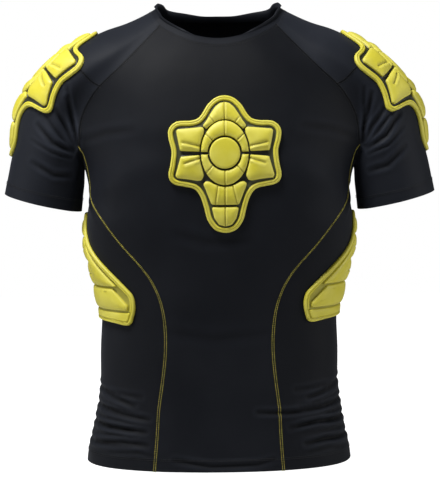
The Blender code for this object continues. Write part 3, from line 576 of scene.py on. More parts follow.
# Knit coordinates in metres: across the wales, along them
def knitCoordinates(piece, points):
    p = points * metres
    if piece in armPieces:
        side = 1 if piece in (sleeveLeft, yokeLeft) else -1
        inner, outer = (np.array((side * x, y, z)) for x, y, z in knitValues["sleeve"])
        way = (outer - inner) / np.linalg.norm(outer - inner)
        across = np.cross(way, (0, 1.0, 0))
        across /= np.linalg.norm(across)
        rel = p - inner
        angle = np.arctan2(rel[:, 1], rel @ across * side)
        return np.stack([angle * knitValues["sleeveRadius"], rel @ way], axis=1)
    angle = np.arctan2(p[:, 0], -p[:, 1] if piece == frontPiece else p[:, 1])
    if piece in sidePieces:
        angle = np.arctan2(p[:, 1], p[:, 0] * (1 if piece == sideLeft else -1))
    return np.stack([angle * knitValues["bodyRadius"], p[:, 2]], axis=1)


def clothPiece(number):
    members = surfaceQuads[surfaceOwner == number]
    used, local = np.unique(members, return_inverse=True)
    local = local.reshape(-1, 4)
    where = {int(v): k for k, v in enumerate(used)}
    directed = set()
    for q in members.tolist():
        directed.update(((q[0], q[1]), (q[1], q[2]), (q[2], q[3]), (q[3], q[0])))
    border = sorted((a, b) for a, b in directed if (b, a) not in directed)
    pull, reach = {}, {}
    for a, b in border:
        owners = edgeOwners[(min(a, b), max(a, b))]
        if len(owners) < 2:
            continue
        onSide = tuple(sorted(owners)) in sidePairs
        gap = clothValues["collarGap" if collarPiece in owners
                          else "sideGap" if onSide else "seamGap"]
        for v in (a, b):
            reach[v] = max(reach.get(v, 0), gap)
        inward = np.cross(surfaceNormals[a] + surfaceNormals[b], surface[b] - surface[a])
        inward /= np.linalg.norm(inward)
        for v in (a, b):
            pull.setdefault(v, []).append(inward)
    base = surface[used].copy()
    for v, ways in pull.items():
        total = np.sum(ways, axis=0)
        unit = total / np.linalg.norm(total)
        least = max(0.5, min(float(np.dot(unit, w)) for w in ways))
        base[where[v]] += unit * reach[v] / least
    normals = surfaceNormals[used]
    outer = base + normals * hemRaise[used][:, None]
    wall = clothValues["collarWall" if number == collarPiece else "wall"]
    inner = base - normals * (wall + 0.5 * hemRaise[used][:, None])
    count = len(used)
    faces = [tuple(q) for q in local.tolist()]
    faces += [tuple(i + count for i in reversed(q)) for q in local.tolist()]
    for a, b in border:
        i, j = where[a], where[b]
        faces.append((i, i + count, j + count, j))
    # painted shade and painted light: less light reaches the bottom of a crease, and more its
    # lips, so its bottom is drawn darker and its lips lighter
    shade = foldShade[used]
    tone = paintedPieceLight[number] * np.where(shade > 0, 1 - clothValues["creaseShade"] * shade,
                                         1 - clothValues["lipShade"] * shade)
    # painted shade: the cloth is drawn darker near the raglan and arm seams
    dark, near = clothValues["seamShade"]
    tone = tone * (1 - dark * np.exp(-(seamDistance[used] / near) ** 2))
    if number in bodyPieces + sidePieces:
        tone = tone * np.interp(-surface[used][:, 2], *bodyTone)
    flat = knitCoordinates(number, surface[used])
    area = np.linalg.norm(np.cross(surface[members[:, 2]] - surface[members[:, 0]],
                                   surface[members[:, 3]] - surface[members[:, 1]]),
                          axis=1).sum() / 2 * metres ** 2
    obj = writeMesh(pieceNames[number] + "_cloth", np.vstack([outer, inner]), faces,
                    smoothAngle=50, uv=np.vstack([flat, flat]),
                    attributes=[("tone", np.tile(tone, 2))])
    return obj, area


# Shader groups shared by the materials
def newGroup(name, inputs, outputs):
    group = bpy.data.node_groups.new(name, "ShaderNodeTree")
    for label, kind, value in inputs:
        socket = group.interface.new_socket(label, in_out="INPUT", socket_type=kind)
        if value is not None:
            socket.default_value = value
    for label, kind in outputs:
        group.interface.new_socket(label, in_out="OUTPUT", socket_type=kind)
    return group, group.nodes.new("NodeGroupInput"), group.nodes.new("NodeGroupOutput")


def mathNode(tree, kind, first, second=None):
    node = tree.nodes.new("ShaderNodeMath")
    node.operation = kind
    for k, value in enumerate((first, second)):
        if value is None:
            continue
        if isinstance(value, (int, float)):
            node.inputs[k].default_value = value
        else:
            tree.links.new(value, node.inputs[k])
    return node.outputs[0]


def knitGroup():
    group, enter, leave = newGroup(
        "knitRelief",
        [("Vector", "NodeSocketVector", None), ("Wale", "NodeSocketFloat", 0.0009),
         ("Course", "NodeSocketFloat", 0.0007)],
        [("Height", "NodeSocketFloat"), ("Shade", "NodeSocketFloat")])
    split = group.nodes.new("ShaderNodeSeparateXYZ")
    group.links.new(enter.outputs["Vector"], split.inputs[0])
    across = mathNode(group, "DIVIDE", split.outputs[0], enter.outputs["Wale"])
    column = mathNode(group, "FRACT", across)
    centred = mathNode(group, "ABSOLUTE", mathNode(group, "SUBTRACT", column, 0.5))
    along = mathNode(group, "DIVIDE", split.outputs[1], enter.outputs["Course"])
    # the two legs of a knit loop slope towards the middle of its wale
    sloped = mathNode(group, "ADD", along, mathNode(group, "MULTIPLY", centred, 1.3))
    wave = mathNode(group, "SINE", mathNode(group, "MULTIPLY", sloped, 2 * math.pi))
    loop = mathNode(group, "ADD", mathNode(group, "MULTIPLY", wave, 0.5), 0.5)
    leg = mathNode(group, "SINE", mathNode(group, "MULTIPLY", column, math.pi))
    height = mathNode(group, "MULTIPLY", loop, mathNode(group, "POWER", leg, 0.6))
    group.links.new(height, leave.inputs["Height"])
    group.links.new(leg, leave.inputs["Shade"])
    return group


def grainGroup():
    group, enter, leave = newGroup(
        "grainRelief",
        [("Vector", "NodeSocketVector", None), ("Scale", "NodeSocketFloat", 600.0),
         ("Patches", "NodeSocketFloat", 14.0)],
        [("Height", "NodeSocketFloat"), ("Mottle", "NodeSocketFloat")])
    fine = group.nodes.new("ShaderNodeTexVoronoi")
    fine.feature = "F1"
    coarse = group.nodes.new("ShaderNodeTexNoise")
    coarse.inputs["Detail"].default_value = 4
    mid = group.nodes.new("ShaderNodeTexNoise")
    mid.inputs["Detail"].default_value = 2
    for node, label in ((fine, "Scale"), (mid, "Scale"), (coarse, "Patches")):
        group.links.new(enter.outputs["Vector"], node.inputs["Vector"])
        group.links.new(enter.outputs[label], node.inputs["Scale"])
    cells = mathNode(group, "MULTIPLY", fine.outputs["Distance"], 0.7)
    height = mathNode(group, "ADD", cells, mathNode(group, "MULTIPLY", mid.outputs[0], 0.6))
    group.links.new(height, leave.inputs["Height"])
    group.links.new(coarse.outputs[0], leave.inputs["Mottle"])
    return group


knitTree, grainTree = knitGroup(), grainGroup()


def newMaterial(name, settings):
    material = bpy.data.materials.new(name)
    material.use_nodes = True
    shader = material.node_tree.nodes["Principled BSDF"]
    for label, value in settings.items():
        shader.inputs[label].default_value = value
    return material, material.node_tree, shader


def placeGroup(tree, group, vector, values):
    node = tree.nodes.new("ShaderNodeGroup")
    node.node_tree = group
    tree.links.new(vector, node.inputs["Vector"])
    for label, value in values.items():
        node.inputs[label].default_value = value
    return node


def mixColours(tree, factor, first, second, kind="MIX"):
    mix = tree.nodes.new("ShaderNodeMix")
    mix.data_type = "RGBA"
    mix.blend_type = kind
    for socket, value in ((mix.inputs[0], factor), (mix.inputs[6], first),
                          (mix.inputs[7], second)):
        if isinstance(value, tuple):
            socket.default_value = (*value, 1)
        elif isinstance(value, (int, float)):
            socket.default_value = value
        else:
            tree.links.new(value, socket)
    return mix.outputs[2]


def span(tree, value, low, high, outLow, outHigh):
    node = tree.nodes.new("ShaderNodeMapRange")
    for k, number in enumerate((low, high, outLow, outHigh)):
        node.inputs[k + 1].default_value = number
    tree.links.new(value, node.inputs[0])
    return node.outputs[0]


def addBump(tree, shader, height, strength, distance):
    bump = tree.nodes.new("ShaderNodeBump")
    bump.inputs["Strength"].default_value = strength
    bump.inputs["Distance"].default_value = distance
    tree.links.new(height, bump.inputs["Height"])
    tree.links.new(bump.outputs[0], shader.inputs["Normal"])


def addGrain(tree, scale, patches):
    place = tree.nodes.new("ShaderNodeTexCoord")
    return placeGroup(tree, grainTree, place.outputs["Object"],
                      {"Scale": scale, "Patches": patches})


def attributeOf(tree, label):
    node = tree.nodes.new("ShaderNodeAttribute")
    node.attribute_name = label
    return node.outputs["Fac"]


jerseyValues = {
    "dark": (0.0069, 0.0082, 0.0118),
    "light": (0.0108, 0.0124, 0.0168),
    "wale": 0.0010, "course": 0.0008,
    "bump": 0.35, "bumpDistance": 0.00012,
}


def jerseyMaterial():
    material, tree, shader = newMaterial("jersey_knit", {
        "Roughness": 0.6, "Specular IOR Level": 0.10,
        "Sheen Weight": 0.025, "Sheen Roughness": 0.45, "Sheen Tint": (0.75, 0.8, 1.0, 1)})
    weave = tree.nodes.new("ShaderNodeUVMap")
    weave.uv_map = "weave"
    knit = placeGroup(tree, knitTree, weave.outputs[0],
                      {"Wale": jerseyValues["wale"], "Course": jerseyValues["course"]})
    grain = addGrain(tree, 900.0, 9.0)
    tone = span(tree, grain.outputs["Mottle"], 0.35, 0.65, 0.0, 1.0)
    colour = mixColours(tree, tone, jerseyValues["dark"], jerseyValues["light"])
    shade = span(tree, knit.outputs["Shade"], 0.0, 1.0, 0.78, 1.0)
    shade = mathNode(tree, "MULTIPLY", shade, attributeOf(tree, "tone"))
    colour = mixColours(tree, 1.0, colour, shade, "MULTIPLY")
    tree.links.new(colour, shader.inputs["Base Color"])
    rough = span(tree, grain.outputs["Mottle"], 0.3, 0.7, 0.54, 0.68)
    tree.links.new(rough, shader.inputs["Roughness"])
    addBump(tree, shader, knit.outputs["Height"], jerseyValues["bump"],
            jerseyValues["bumpDistance"])
    return material


foamValues = {
    "base": (0.60, 0.535, 0.042),
    # a lighter colour for random wear patches and for painted highlight on rounded edges and
    # crease lips
    "worn": (0.70, 0.645, 0.125),
    # painted shade for the rim's fine line and the creases
    "crease": (0.27, 0.23, 0.018),
    # the grooves' dark olive floor colour; the gap colour is painted shade for the narrow
    # grooves between blocks
    "groove": (0.060, 0.064, 0.030),
    "gap": (0.012, 0.013, 0.008),
    "bump": 0.18, "bumpDistance": 0.00012,
}


def foamMaterial():
    material, tree, shader = newMaterial("pad_foam", {
        "Roughness": 0.42, "Specular IOR Level": 0.34})
    grain = addGrain(tree, 1100.0, 26.0)
    worn = span(tree, grain.outputs["Mottle"], 0.42, 0.7, 0.0, 0.55)
    colour = mixColours(tree, worn, foamValues["base"], foamValues["worn"])
    # painted highlight on the edges and lips; painted shade in the creases, up the grooves'
    # walls and in the gaps
    for label, tint, share in (("edge", "worn", 0.75), ("crease", "crease", 0.75),
                               ("groove", "groove", 1.0), ("gap", "gap", 1.0)):
        mark = mathNode(tree, "MULTIPLY", attributeOf(tree, label), share)
        colour = mixColours(tree, mark, colour, foamValues[tint])
    tree.links.new(colour, shader.inputs["Base Color"])
    rough = span(tree, grain.outputs["Mottle"], 0.3, 0.7, 0.40, 0.54)
    tree.links.new(rough, shader.inputs["Roughness"])
    addBump(tree, shader, grain.outputs["Height"], foamValues["bump"],
            foamValues["bumpDistance"])
    return material


def threadMaterial(name, dark, light):
    material, tree, shader = newMaterial(name, {
        "Roughness": 0.55, "Specular IOR Level": 0.3})
    grain = addGrain(tree, 2600.0, 180.0)
    tone = span(tree, grain.outputs["Mottle"], 0.35, 0.65, 0.0, 1.0)
    tree.links.new(mixColours(tree, tone, dark, light), shader.inputs["Base Color"])
    addBump(tree, shader, grain.outputs["Height"], 0.4, 0.0001)
    return material


jersey, foam = jerseyMaterial(), foamMaterial()
yellowThread = threadMaterial("thread_yellow", (0.25, 0.22, 0.03), (0.42, 0.37, 0.06))
blackThread = threadMaterial("thread_black", (0.010, 0.011, 0.012), (0.024, 0.025, 0.028))
print("materials made")

# Cut size of each sheet: width, length, area, all in metres
cutSizes = {
    "front_panel": (0.375, 0.585, 0.152), "back_panel": (0.375, 0.620, 0.155),
    "side_panel_left": (0.300, 0.420, 0.096), "side_panel_right": (0.300, 0.420, 0.096),
    "sleeve_left": (0.360, 0.270, 0.058), "sleeve_right": (0.360, 0.270, 0.058),
    "shoulder_yoke_left": (0.190, 0.160, 0.024),
    "shoulder_yoke_right": (0.190, 0.160, 0.024),
    "collar": (0.012, 0.460, 0.0055),
}
for number, name in enumerate(pieceNames):
    piece, area = clothPiece(number)
    piece.data.materials.append(jersey)
    width, length, cut = cutSizes[name]
    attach(piece, "root")
    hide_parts(name)
    print(name, "worn area", round(float(area), 4), "cut area", cut)


# The outer cloth, for laying pads and seams on
class Ground:
    def __init__(self, points, quads, normals):
        self.points, self.normals = points, normals
        self.tris = np.vstack([quads[:, [0, 1, 2]], quads[:, [0, 2, 3]]])
        self.tree = treeOf(points, self.tris)

    def blend(self, hit, index):
        a, b, c = self.tris[index]
        p = np.array(hit)
        pa, pb, pc = self.points[a], self.points[b], self.points[c]
        area = np.cross(pb - pa, pc - pa)
        whole = np.dot(area, area) + 1e-12
        wa = np.dot(np.cross(pb - p, pc - p), area) / whole
        wb = np.dot(np.cross(pc - p, pa - p), area) / whole
        n = self.normals[a] * wa + self.normals[b] * wb + self.normals[c] * (1 - wa - wb)
        return p, n / np.linalg.norm(n)

    def cast(self, start, way):
        hit, _, index, _ = self.tree.ray_cast(Vector(start), Vector(way))
        if hit is None:
            hit, _, index, _ = self.tree.find_nearest(Vector(start) + Vector(way) * 60)
        return self.blend(hit, index)

    def nearest(self, point):
        hit, _, index, _ = self.tree.find_nearest(Vector(point))
        return self.blend(hit, index)


# How finely the pads' carriers sample the cloth: rays across, rows along
carrierValues = {
    "rays": 61, "reach": 118,        # degrees to either side
    "shoulderRows": 57, "shoulderMiddle": 3,
    "shoulderDepth": ((0, 0.35, 1), (72, 66, 54)),    # share of the line, depth below it
    "ribRows": 30, "ribCore": 62.0, "ribHeights": (-262, -436),
}


# Flat pad coordinates (along, across) laid on the cloth without stretching
class Carrier:
    turn = np.array((0, -1.0, 0))

    def __init__(self, ground, starts, outs):
        self.ground, self.starts, self.outs = ground, starts, outs
        reach, rays = carrierValues["reach"], carrierValues["rays"]
        self.angles = np.radians(np.linspace(-reach, reach, rays))
        lines = [np.array([ground.cast(g, n * math.cos(a) + self.turn * math.sin(a))[0]
                           for a in self.angles])
                 for g, n in zip(starts, outs)]
        tops = np.array([row[rays // 2] for row in lines])
        self.along = np.concatenate(
            [[0], np.cumsum(np.linalg.norm(np.diff(tops, axis=0), axis=1))])
        self.across = []
        for row in lines:
            run = np.concatenate(
                [[0], np.cumsum(np.linalg.norm(np.diff(row, axis=0), axis=1))])
            self.across.append(run - run[rays // 2])

    def place(self, s, w):
        s = min(max(s, self.along[0]), self.along[-1])
        f = float(np.interp(s, self.along, np.arange(len(self.along))))
        i = min(int(f), len(self.along) - 2)
        f -= i
        angle = (1 - f) * np.interp(w, self.across[i], self.angles) \
            + f * np.interp(w, self.across[i + 1], self.angles)
        g, n = (part[i] * (1 - f) + part[i + 1] * f for part in (self.starts, self.outs))
        return self.ground.cast(g, n * math.cos(angle) + self.turn * math.sin(angle))


def spline(points, count):
    pts = np.array(points, float)
    pts = np.vstack([2 * pts[0] - pts[1], pts, 2 * pts[-1] - pts[-2]])
    out = []
    for u in np.linspace(0, len(pts) - 3, count):
        i = min(int(u), len(pts) - 4)
        f = u - i
        a, b, c, d = pts[i:i + 4]
        out.append(0.5 * (2 * b + (c - a) * f + (2 * a - 5 * b + 4 * c - d) * f * f
                          + (3 * b - a - 3 * c + d) * f ** 3))
    return np.array(out)


def shoulderCarrier(ground, side):
    tops = [raglanTable[r][1] for r in (6, 5, 4, 3, 2, 1, 0)] \
        + [(302, 3, -200), (309, 2, -234)]
    rows, middle = carrierValues["shoulderRows"], carrierValues["shoulderMiddle"]
    line = spline(tops, rows)
    ways = np.gradient(line, axis=0)
    outs = np.stack([-ways[:, 2], 0 * ways[:, 1], ways[:, 0]], axis=1)
    outs /= np.linalg.norm(outs, axis=1)[:, None]
    depth = np.interp(np.linspace(0, 1, rows), *carrierValues["shoulderDepth"])
    starts = line - outs * depth[:, None]
    for _ in range(12):
        starts[1:-1] = (starts[:-2] + 2 * starts[1:-1] + starts[2:]) / 4
    starts[:, 1] = middle
    outs = line - starts
    outs[:, 1] = 0
    outs /= np.linalg.norm(outs, axis=1)[:, None]
    mirror = np.array((side, 1, 1.0))
    return Carrier(ground, starts * mirror, outs * mirror)


def ribCarrier(ground, side):
    rows = carrierValues["ribRows"]
    heights = np.linspace(*carrierValues["ribHeights"], rows)
    starts = np.array([(side * carrierValues["ribCore"], 0, z) for z in heights])
    return Carrier(ground, starts, np.tile(np.array((side, 0, 0.0)), (rows, 1)))


# The pads. Flat outlines are in millimetres: across, along.
padValues = {
    "rim": 7.4, "groove": 3.8, "boss": 21.3,
    "ring": (23.5, 33, 44),          # inner radius, outer half width, outer half height
    "ringGap": 1.6,                  # from the middle line to either half
    "floor": 1.9, "lift": 0.55,
    "grown": 0.4,                    # blocks reach this far past their outlines
    "shoulderGrown": 1.9,
    "ribGrown": 1.1,
    "ribGroove": 0.42, "ribGap": 0.12,  # how dark the side pads' shallow grooves are
    "edgeSpacing": 2.3,
    "fillSpacing": 3.0,
    "fineSpacing": 2.0,
    "reach": 170, "partReach": 125,  # farther than any edge from its middle
    "backSpacing": 6.5,
    "shoulderScale": (1.08, 1.285), "shoulderSplay": 0.26, "shoulderFlare": 0.0014,
    # by side, 1 the wearer's left
    "shoulderBoss": {1: 177.7, -1: 174.3}, "shoulderDown": {1: 135.6, -1: 142},
    "shoulderWings": (60, 53),       # heights up to the first are drawn in to the second
    "shoulderUp": 90,
    "chestAt": (7.8, -178.8),
    "ribUp": {1: (4.5, 3.0), -1: (4.5, 0.5)},   # top and bottom
}
lobedOutline = [
    (0, 78.8), (8, 77.6), (14.6, 74.5), (20, 70), (25, 64.2), (31.5, 53.5), (38, 47),
    (48, 44.5), (60, 44.3), (68, 42.6), (75, 37), (78.2, 29), (77, 18), (73.5, 3),
    (75, -13), (78, -28), (76.2, -37), (69, -43), (56, -45.8), (46, -48), (39.5, -52),
    (33.8, -61.5), (29.5, -75.4), (25, -92.5), (16.5, -105), (8, -109.3), (0, -110.5),
]
lobeBlock = [(0, 69), (7, 67.3), (13.5, 61.5), (19.5, 52.5), (25, 43.5), (30, 36.8),
             (25, 32.6), (19, 38.5), (12, 43.1), (6, 45.2), (0, 45.9)]
stemUpper = [(0, -46.5), (8, -45.3), (15, -42.4), (22, -38.8), (26.5, -38.6), (30, -42),
             (26, -52), (19.5, -69), (17.5, -70.8), (0, -71)]
stemLower = [(0, -74.6), (16.5, -74.2), (18.2, -76), (15, -90), (9, -98.5), (0, -101.2)]
wingUpper = [(35.1, 2.6), (33.9, 12), (31.6, 20), (28.6, 27.5), (28.4, 32.6), (31, 35),
             (48, 33.6), (64.5, 32.2), (66.5, 30), (65, 22), (61, 3.4), (48, 2.9)]
wingLower = [(35.1, -2.6), (48, -3.6), (60.5, -5), (65, -20), (68, -30), (66, -33.4),
             (50, -35.2), (37, -37.6), (32.4, -36.6), (29, -30), (31.6, -20), (33.9, -12)]
ribOutline = [
    (0, -271.5), (9, -273), (16, -279), (23, -290), (34, -303), (45, -317), (65, -338),
    (83, -357), (99, -375), (105, -384), (105.5, -397), (101, -412), (92, -425.5),
    (64, -424), (30, -423), (0, -423),
]
# The rib pad's blocks, in the heights and widths of its outline
ribBlocks = {
    "bands": ((-271, -302.5), (-306, -337.5), (-341.5, -371.5)),   # top, bottom
    "bandHalf": 27.5, "flankFrom": 30.5, "flankFoot": -370.5, "flankMiddle": (44.0, -361),
    "low": (-375, -404), "lowMiddle": (0, -391.0),
    "lowCorner": (94, -398), "cornerWay": (0.74, 0.675),
    "sill": -407.6, "sillInset": 5, "sillMiddle": (0, -413.0),
    "middle": (0.0, -392.0),
}
# creases of the lobed pad: ends, depth, half width
lobedCreases = [
    ((0, 45), (0, 70), 1.7, 1.7), ((-15, 42), (-21, 49), 1.0, 1.5),
    ((15, 42), (21, 49), 1.0, 1.5),
    ((0, 22), (0, 46), 1.7, 1.5), ((16.5, 16.5), (28, 27), 1.7, 1.5),
    ((-16.5, 16.5), (-28, 27), 1.7, 1.5),
    ((0, -22), (0, -46), 1.7, 1.5), ((16.5, -16.5), (27, -28), 1.7, 1.5),
    ((-16.5, -16.5), (-27, -28), 1.7, 1.5),
    ((33, 9), (57, 14.5), 2.2, 3.0), ((-33, 9), (-57, 14.5), 2.2, 3.0),
    ((33, -6.5), (55, -13.4), 2.2, 3.0), ((-33, -6.5), (-55, -13.4), 2.2, 3.0),
    ((0, -45), (0, -72), 1.8, 1.7), ((-10, -44), (-13.5, -70), 1.7, 1.7),
    ((10.5, -44), (16.5, -70), 1.7, 1.7), ((0, -74), (0, -102), 1.8, 1.7),
]
ribCreases = [
    ((0, -376), (0, -403), 1.0, 1.6), ((-20, -322), (20, -322), 0.9, 2.0),
    ((-24, -356), (24, -356), 0.9, 2.2), ((0, -306), (0, -337), 0.8, 1.5),
]
# distance in from the pad's edge, height: an edge, a crown, a fine line, a crown, a wall
rimProfile = [(0, 0), (0.25, 2.0), (0.7, 3.4), (1.4, 4.25), (2.5, 4.6), (3.2, 4.55),
              (3.7, 3.6), (4.2, 4.5), (5.2, 4.6), (6.2, 4.3), (6.9, 3.6), (7.3, 2.7),
              (7.7, 1.9)]
# distance in from a block's edge, height
blockProfile = [(0, 1.9), (0.25, 3.7), (0.6, 4.7), (1.3, 5.45), (2.8, 6.2), (5.5, 7.1),
                (12, 8.0)]
sillProfile = [(0, 1.9), (0.3, 3.2), (0.8, 4.2), (1.6, 4.6)]
bossProfile = [(0, 1.9), (0.3, 4.0), (0.8, 5.3), (1.6, 6.1), (2.6, 6.4), (4.5, 6.45),
               (21, 6.6)]


def fullLoop(half):
    back = [(-u, v) for u, v in reversed(half) if u > 0]
    return np.array([p for p in half if p[0] >= 0] + back, float)


def evenLoop(loop, spacing):
    closed = np.vstack([loop, loop[:1]])
    run = np.concatenate([[0], np.cumsum(np.linalg.norm(np.diff(closed, axis=0), axis=1))])
    count = max(10, int(round(run[-1] / spacing)))
    at = np.linspace(0, run[-1], count + 1)[:-1]
    return np.stack([np.interp(at, run, closed[:, k]) for k in (0, 1)], axis=1)


def curvedLoop(loop, spacing):
    closed = spline(np.vstack([loop[-2:], loop, loop[:2]]), 40 * len(loop))
    total = np.linspace(0, len(loop) + 3, 40 * len(loop))
    return evenLoop(closed[(total >= 2) & (total <= len(loop) + 2)], spacing)


# distance of many points from a closed loop, positive inside
def insideDistance(loop, points):
    a, b = loop, np.roll(loop, -1, axis=0)
    d = b - a
    square = (d * d).sum(1) + 1e-12
    result = np.empty(len(points))
    for low in range(0, len(points), 2000):
        p = points[low:low + 2000]
        rel = p[:, None, :] - a[None]
        f = np.clip((rel * d).sum(2) / square, 0, 1)
        near = np.sqrt(((rel - d * f[..., None]) ** 2).sum(2).min(1))
        cross = (a[:, 1] > p[:, 1, None]) != (b[:, 1] > p[:, 1, None])
        with np.errstate(divide="ignore", invalid="ignore"):
            at = a[:, 0] + (p[:, 1, None] - a[:, 1]) / (b[:, 1] - a[:, 1]) * d[:, 0]
        inside = (cross & (p[:, 0, None] < at)).sum(1) % 2 == 1
        result[low:low + 2000] = np.where(inside, near, -near)
    return result


def rayLoop(field, centre, level, angles, reach):
    ways = np.stack([np.cos(angles), np.sin(angles)], axis=1)
    low = np.zeros(len(ways))
    going = np.ones(len(ways), bool)
    step = 1.5
    while going.any() and low.max() < reach:
        ahead = field(centre + ways * (low + step)[:, None]) > level
        going &= ahead
        low = np.where(going, low + step, low)
    high = low + step
    for _ in range(12):
        middle = (low + high) / 2
        deep = field(centre + ways * middle[:, None]) > level
        low, high = np.where(deep, middle, low), np.where(deep, high, middle)
    return centre + ways * low[:, None]


# ray angles that give a loop of even spacing round a centre
def evenAngles(field, centre, spacing, reach):
    angles = np.linspace(0, 2 * math.pi, 241)[:-1]
    loop = rayLoop(field, centre, 0.0, angles, reach)
    even = evenLoop(loop, spacing)
    return np.arctan2(even[:, 1] - centre[1], even[:, 0] - centre[0])


def segmentDistance(points, first, last):
    a, d = np.array(first, float), np.array(last, float) - np.array(first, float)
    f = np.clip(((points - a) @ d) / (d @ d), 0, 1)
    return np.linalg.norm(points - a - f[:, None] * d, axis=1)


def polygonField(loop, grown=0.0):
    return lambda p: insideDistance(loop, p) + grown


# the outline of half the ring round the boss, drawn in by the inset
def ringHalf(sign, inset):
    inner, wide, tall = padValues["ring"]
    gap, low = padValues["ringGap"] + inset, inner + inset
    a0, a1 = math.asin(gap / low), math.asin(gap / (tall - inset))
    outer = [((wide - inset) * math.cos(a), (tall - inset) * math.sin(a))
             for a in np.linspace(a1, math.pi - a1, 60)]
    outer += [(low * math.cos(a), low * math.sin(a))
              for a in np.linspace(math.pi - a0, a0, 50)]
    return np.array([(x, sign * y) for x, y in outer])


def lobedParts(scale):
    grown = padValues["grown" if scale[1] == 1 else "shoulderGrown"]
    scale = np.array(scale, float)
    parts = []
    for half, centre in ((lobeBlock, (0, 57)), (stemUpper, (0, -58)), (stemLower, (0, -86))):
        loop = np.array([(-x, y) for x, y in reversed(half) if x > 0] + half, float) * scale
        parts.append((np.array(centre) * scale, polygonField(loop, grown), blockProfile))
    for side in (-1, 1):
        for wing, sign in ((wingUpper, 1), (wingLower, -1)):
            loop = np.array([(side * x, y) for x, y in wing], float) * scale
            parts.append((np.array((side * 47, sign * 18.5)) * scale,
                          polygonField(loop, grown), blockProfile))
    boss = padValues["boss"]
    turn = np.linspace(0, 2 * math.pi, 97)[:-1]
    loop = np.stack([np.cos(turn), np.sin(turn)], axis=1) * boss * scale
    parts.append((np.zeros(2), polygonField(loop), bossProfile))
    for sign in (1, -1):
        parts.append((None, polygonField(ringHalf(sign, 0) * scale), blockProfile))
    creases = [(np.array(a) * scale, np.array(b) * scale, depth, wide)
               for a, b, depth, wide in lobedCreases]
    return parts, creases


def ribParts(outline):
    edge = padValues["rim"] + padValues["groove"]

    def base(p):
        return insideDistance(outline, p) - edge

    grown = padValues["ribGrown"]

    def band(top, bottom):
        return lambda p: grown + np.minimum.reduce([
            base(p), top - p[:, 1], p[:, 1] - bottom,
            ribBlocks["bandHalf"] - np.abs(p[:, 0])])

    def flank(side):
        return lambda p: grown + np.minimum.reduce([
            base(p), side * p[:, 0] - ribBlocks["flankFrom"],
            p[:, 1] - ribBlocks["flankFoot"]])

    # the long low block: cut at its upper corners, clear of the wide rim below it
    def low(p):
        (x, z), (across, up) = ribBlocks["lowCorner"], ribBlocks["cornerWay"]
        corner = -(across * (np.abs(p[:, 0]) - x) + up * (p[:, 1] - z))
        top, foot = ribBlocks["low"]
        return grown + np.minimum.reduce([base(p), top - p[:, 1], p[:, 1] - foot, corner])

    def sill(p):
        return np.minimum(insideDistance(outline, p) - ribBlocks["sillInset"],
                          ribBlocks["sill"] - p[:, 1])

    parts = []
    for top, bottom in ribBlocks["bands"]:
        middle = (top + bottom) / 2 - (4 if top > -275 else 0)
        parts.append((np.array((0, middle)), band(top, bottom), blockProfile))
    x, z = ribBlocks["flankMiddle"]
    for side in (-1, 1):
        parts.append((np.array((side * x, z)), flank(side), blockProfile))
    parts.append((np.array(ribBlocks["lowMiddle"]), low, blockProfile))
    parts.append((np.array(ribBlocks["sillMiddle"]), sill, sillProfile))
    return parts, [(np.array(a), np.array(b), depth, wide)
                   for a, b, depth, wide in ribCreases]


def padPattern(outline, fine, centre, parts, creases):
    spacing = padValues["edgeSpacing"]
    edge = polygonField(fine)
    angles = np.arctan2(outline[:, 1] - centre[1], outline[:, 0] - centre[0])
    farthest, longest = padValues["reach"], padValues["partReach"]
    loops = [outline] + [rayLoop(edge, centre, depth, angles, farthest)
                         for depth, _ in rimProfile[1:]]
    for middle, field, profile in parts:
        if middle is None:
            # a ring half: its edge follows its own outline at each depth
            continue
        turns = evenAngles(field, middle, spacing, longest)
        for depth, _ in profile[:-1]:
            loop = rayLoop(field, middle, depth, turns, longest)
            if np.ptp(loop[:, 0]) > 2.5 * spacing or np.ptp(loop[:, 1]) > 2.5 * spacing:
                loops.append(loop)
    lines = []
    for first, last, _, wide in creases:
        way = (last - first) / np.linalg.norm(last - first)
        across = np.array((-way[1], way[0]))
        steps = max(3, int(np.linalg.norm(last - first) / spacing))
        for shift in (-2.2, -1.2, -0.6, 0.0, 0.6, 1.2, 2.2):
            lines.append(np.array([
                first + (last - first) * k / steps + across * (shift * wide)
                for k in range(steps + 1)]))
    return loops, lines


def ringLoops(scale):
    return [evenLoop(ringHalf(sign, inset) * scale, padValues["edgeSpacing"])
            for sign in (1, -1) for inset, _ in blockProfile[:4]]


# Where a pad's marks lie: a depth or height, then how far to either side it reaches
markValues = {
    "rimLine": (3.7, 0.5), "rimLineShade": 0.6,
    # painted highlight along the rim's outer edge, the blocks' rounded edges and the creases'
    # lips
    "rimEdge": (1.2, 1.0), "rimEdgeHighlight": 0.7,
    "blockEdge": (5.5, 0.9),
    "creasedFrom": 4.3,              # creases cut only what stands higher
    # in half widths of the crease, but for the lip's height, a share of its depth
    "lipAt": 1.2, "lip": 0.35, "lineWidth": 0.7, "wornFrom": 0.8,
    "grooveTop": 3.4, "grooveSoft": 0.2, "grooveFrom": 6.0,
    "gapFrom": 12.2, "gapSoft": 2.0,
}


# 1 at a value, falling to 0 at the reach to either side
def peak(values, at, reach):
    return np.clip(1 - np.abs(values - at) / reach, 0, 1)


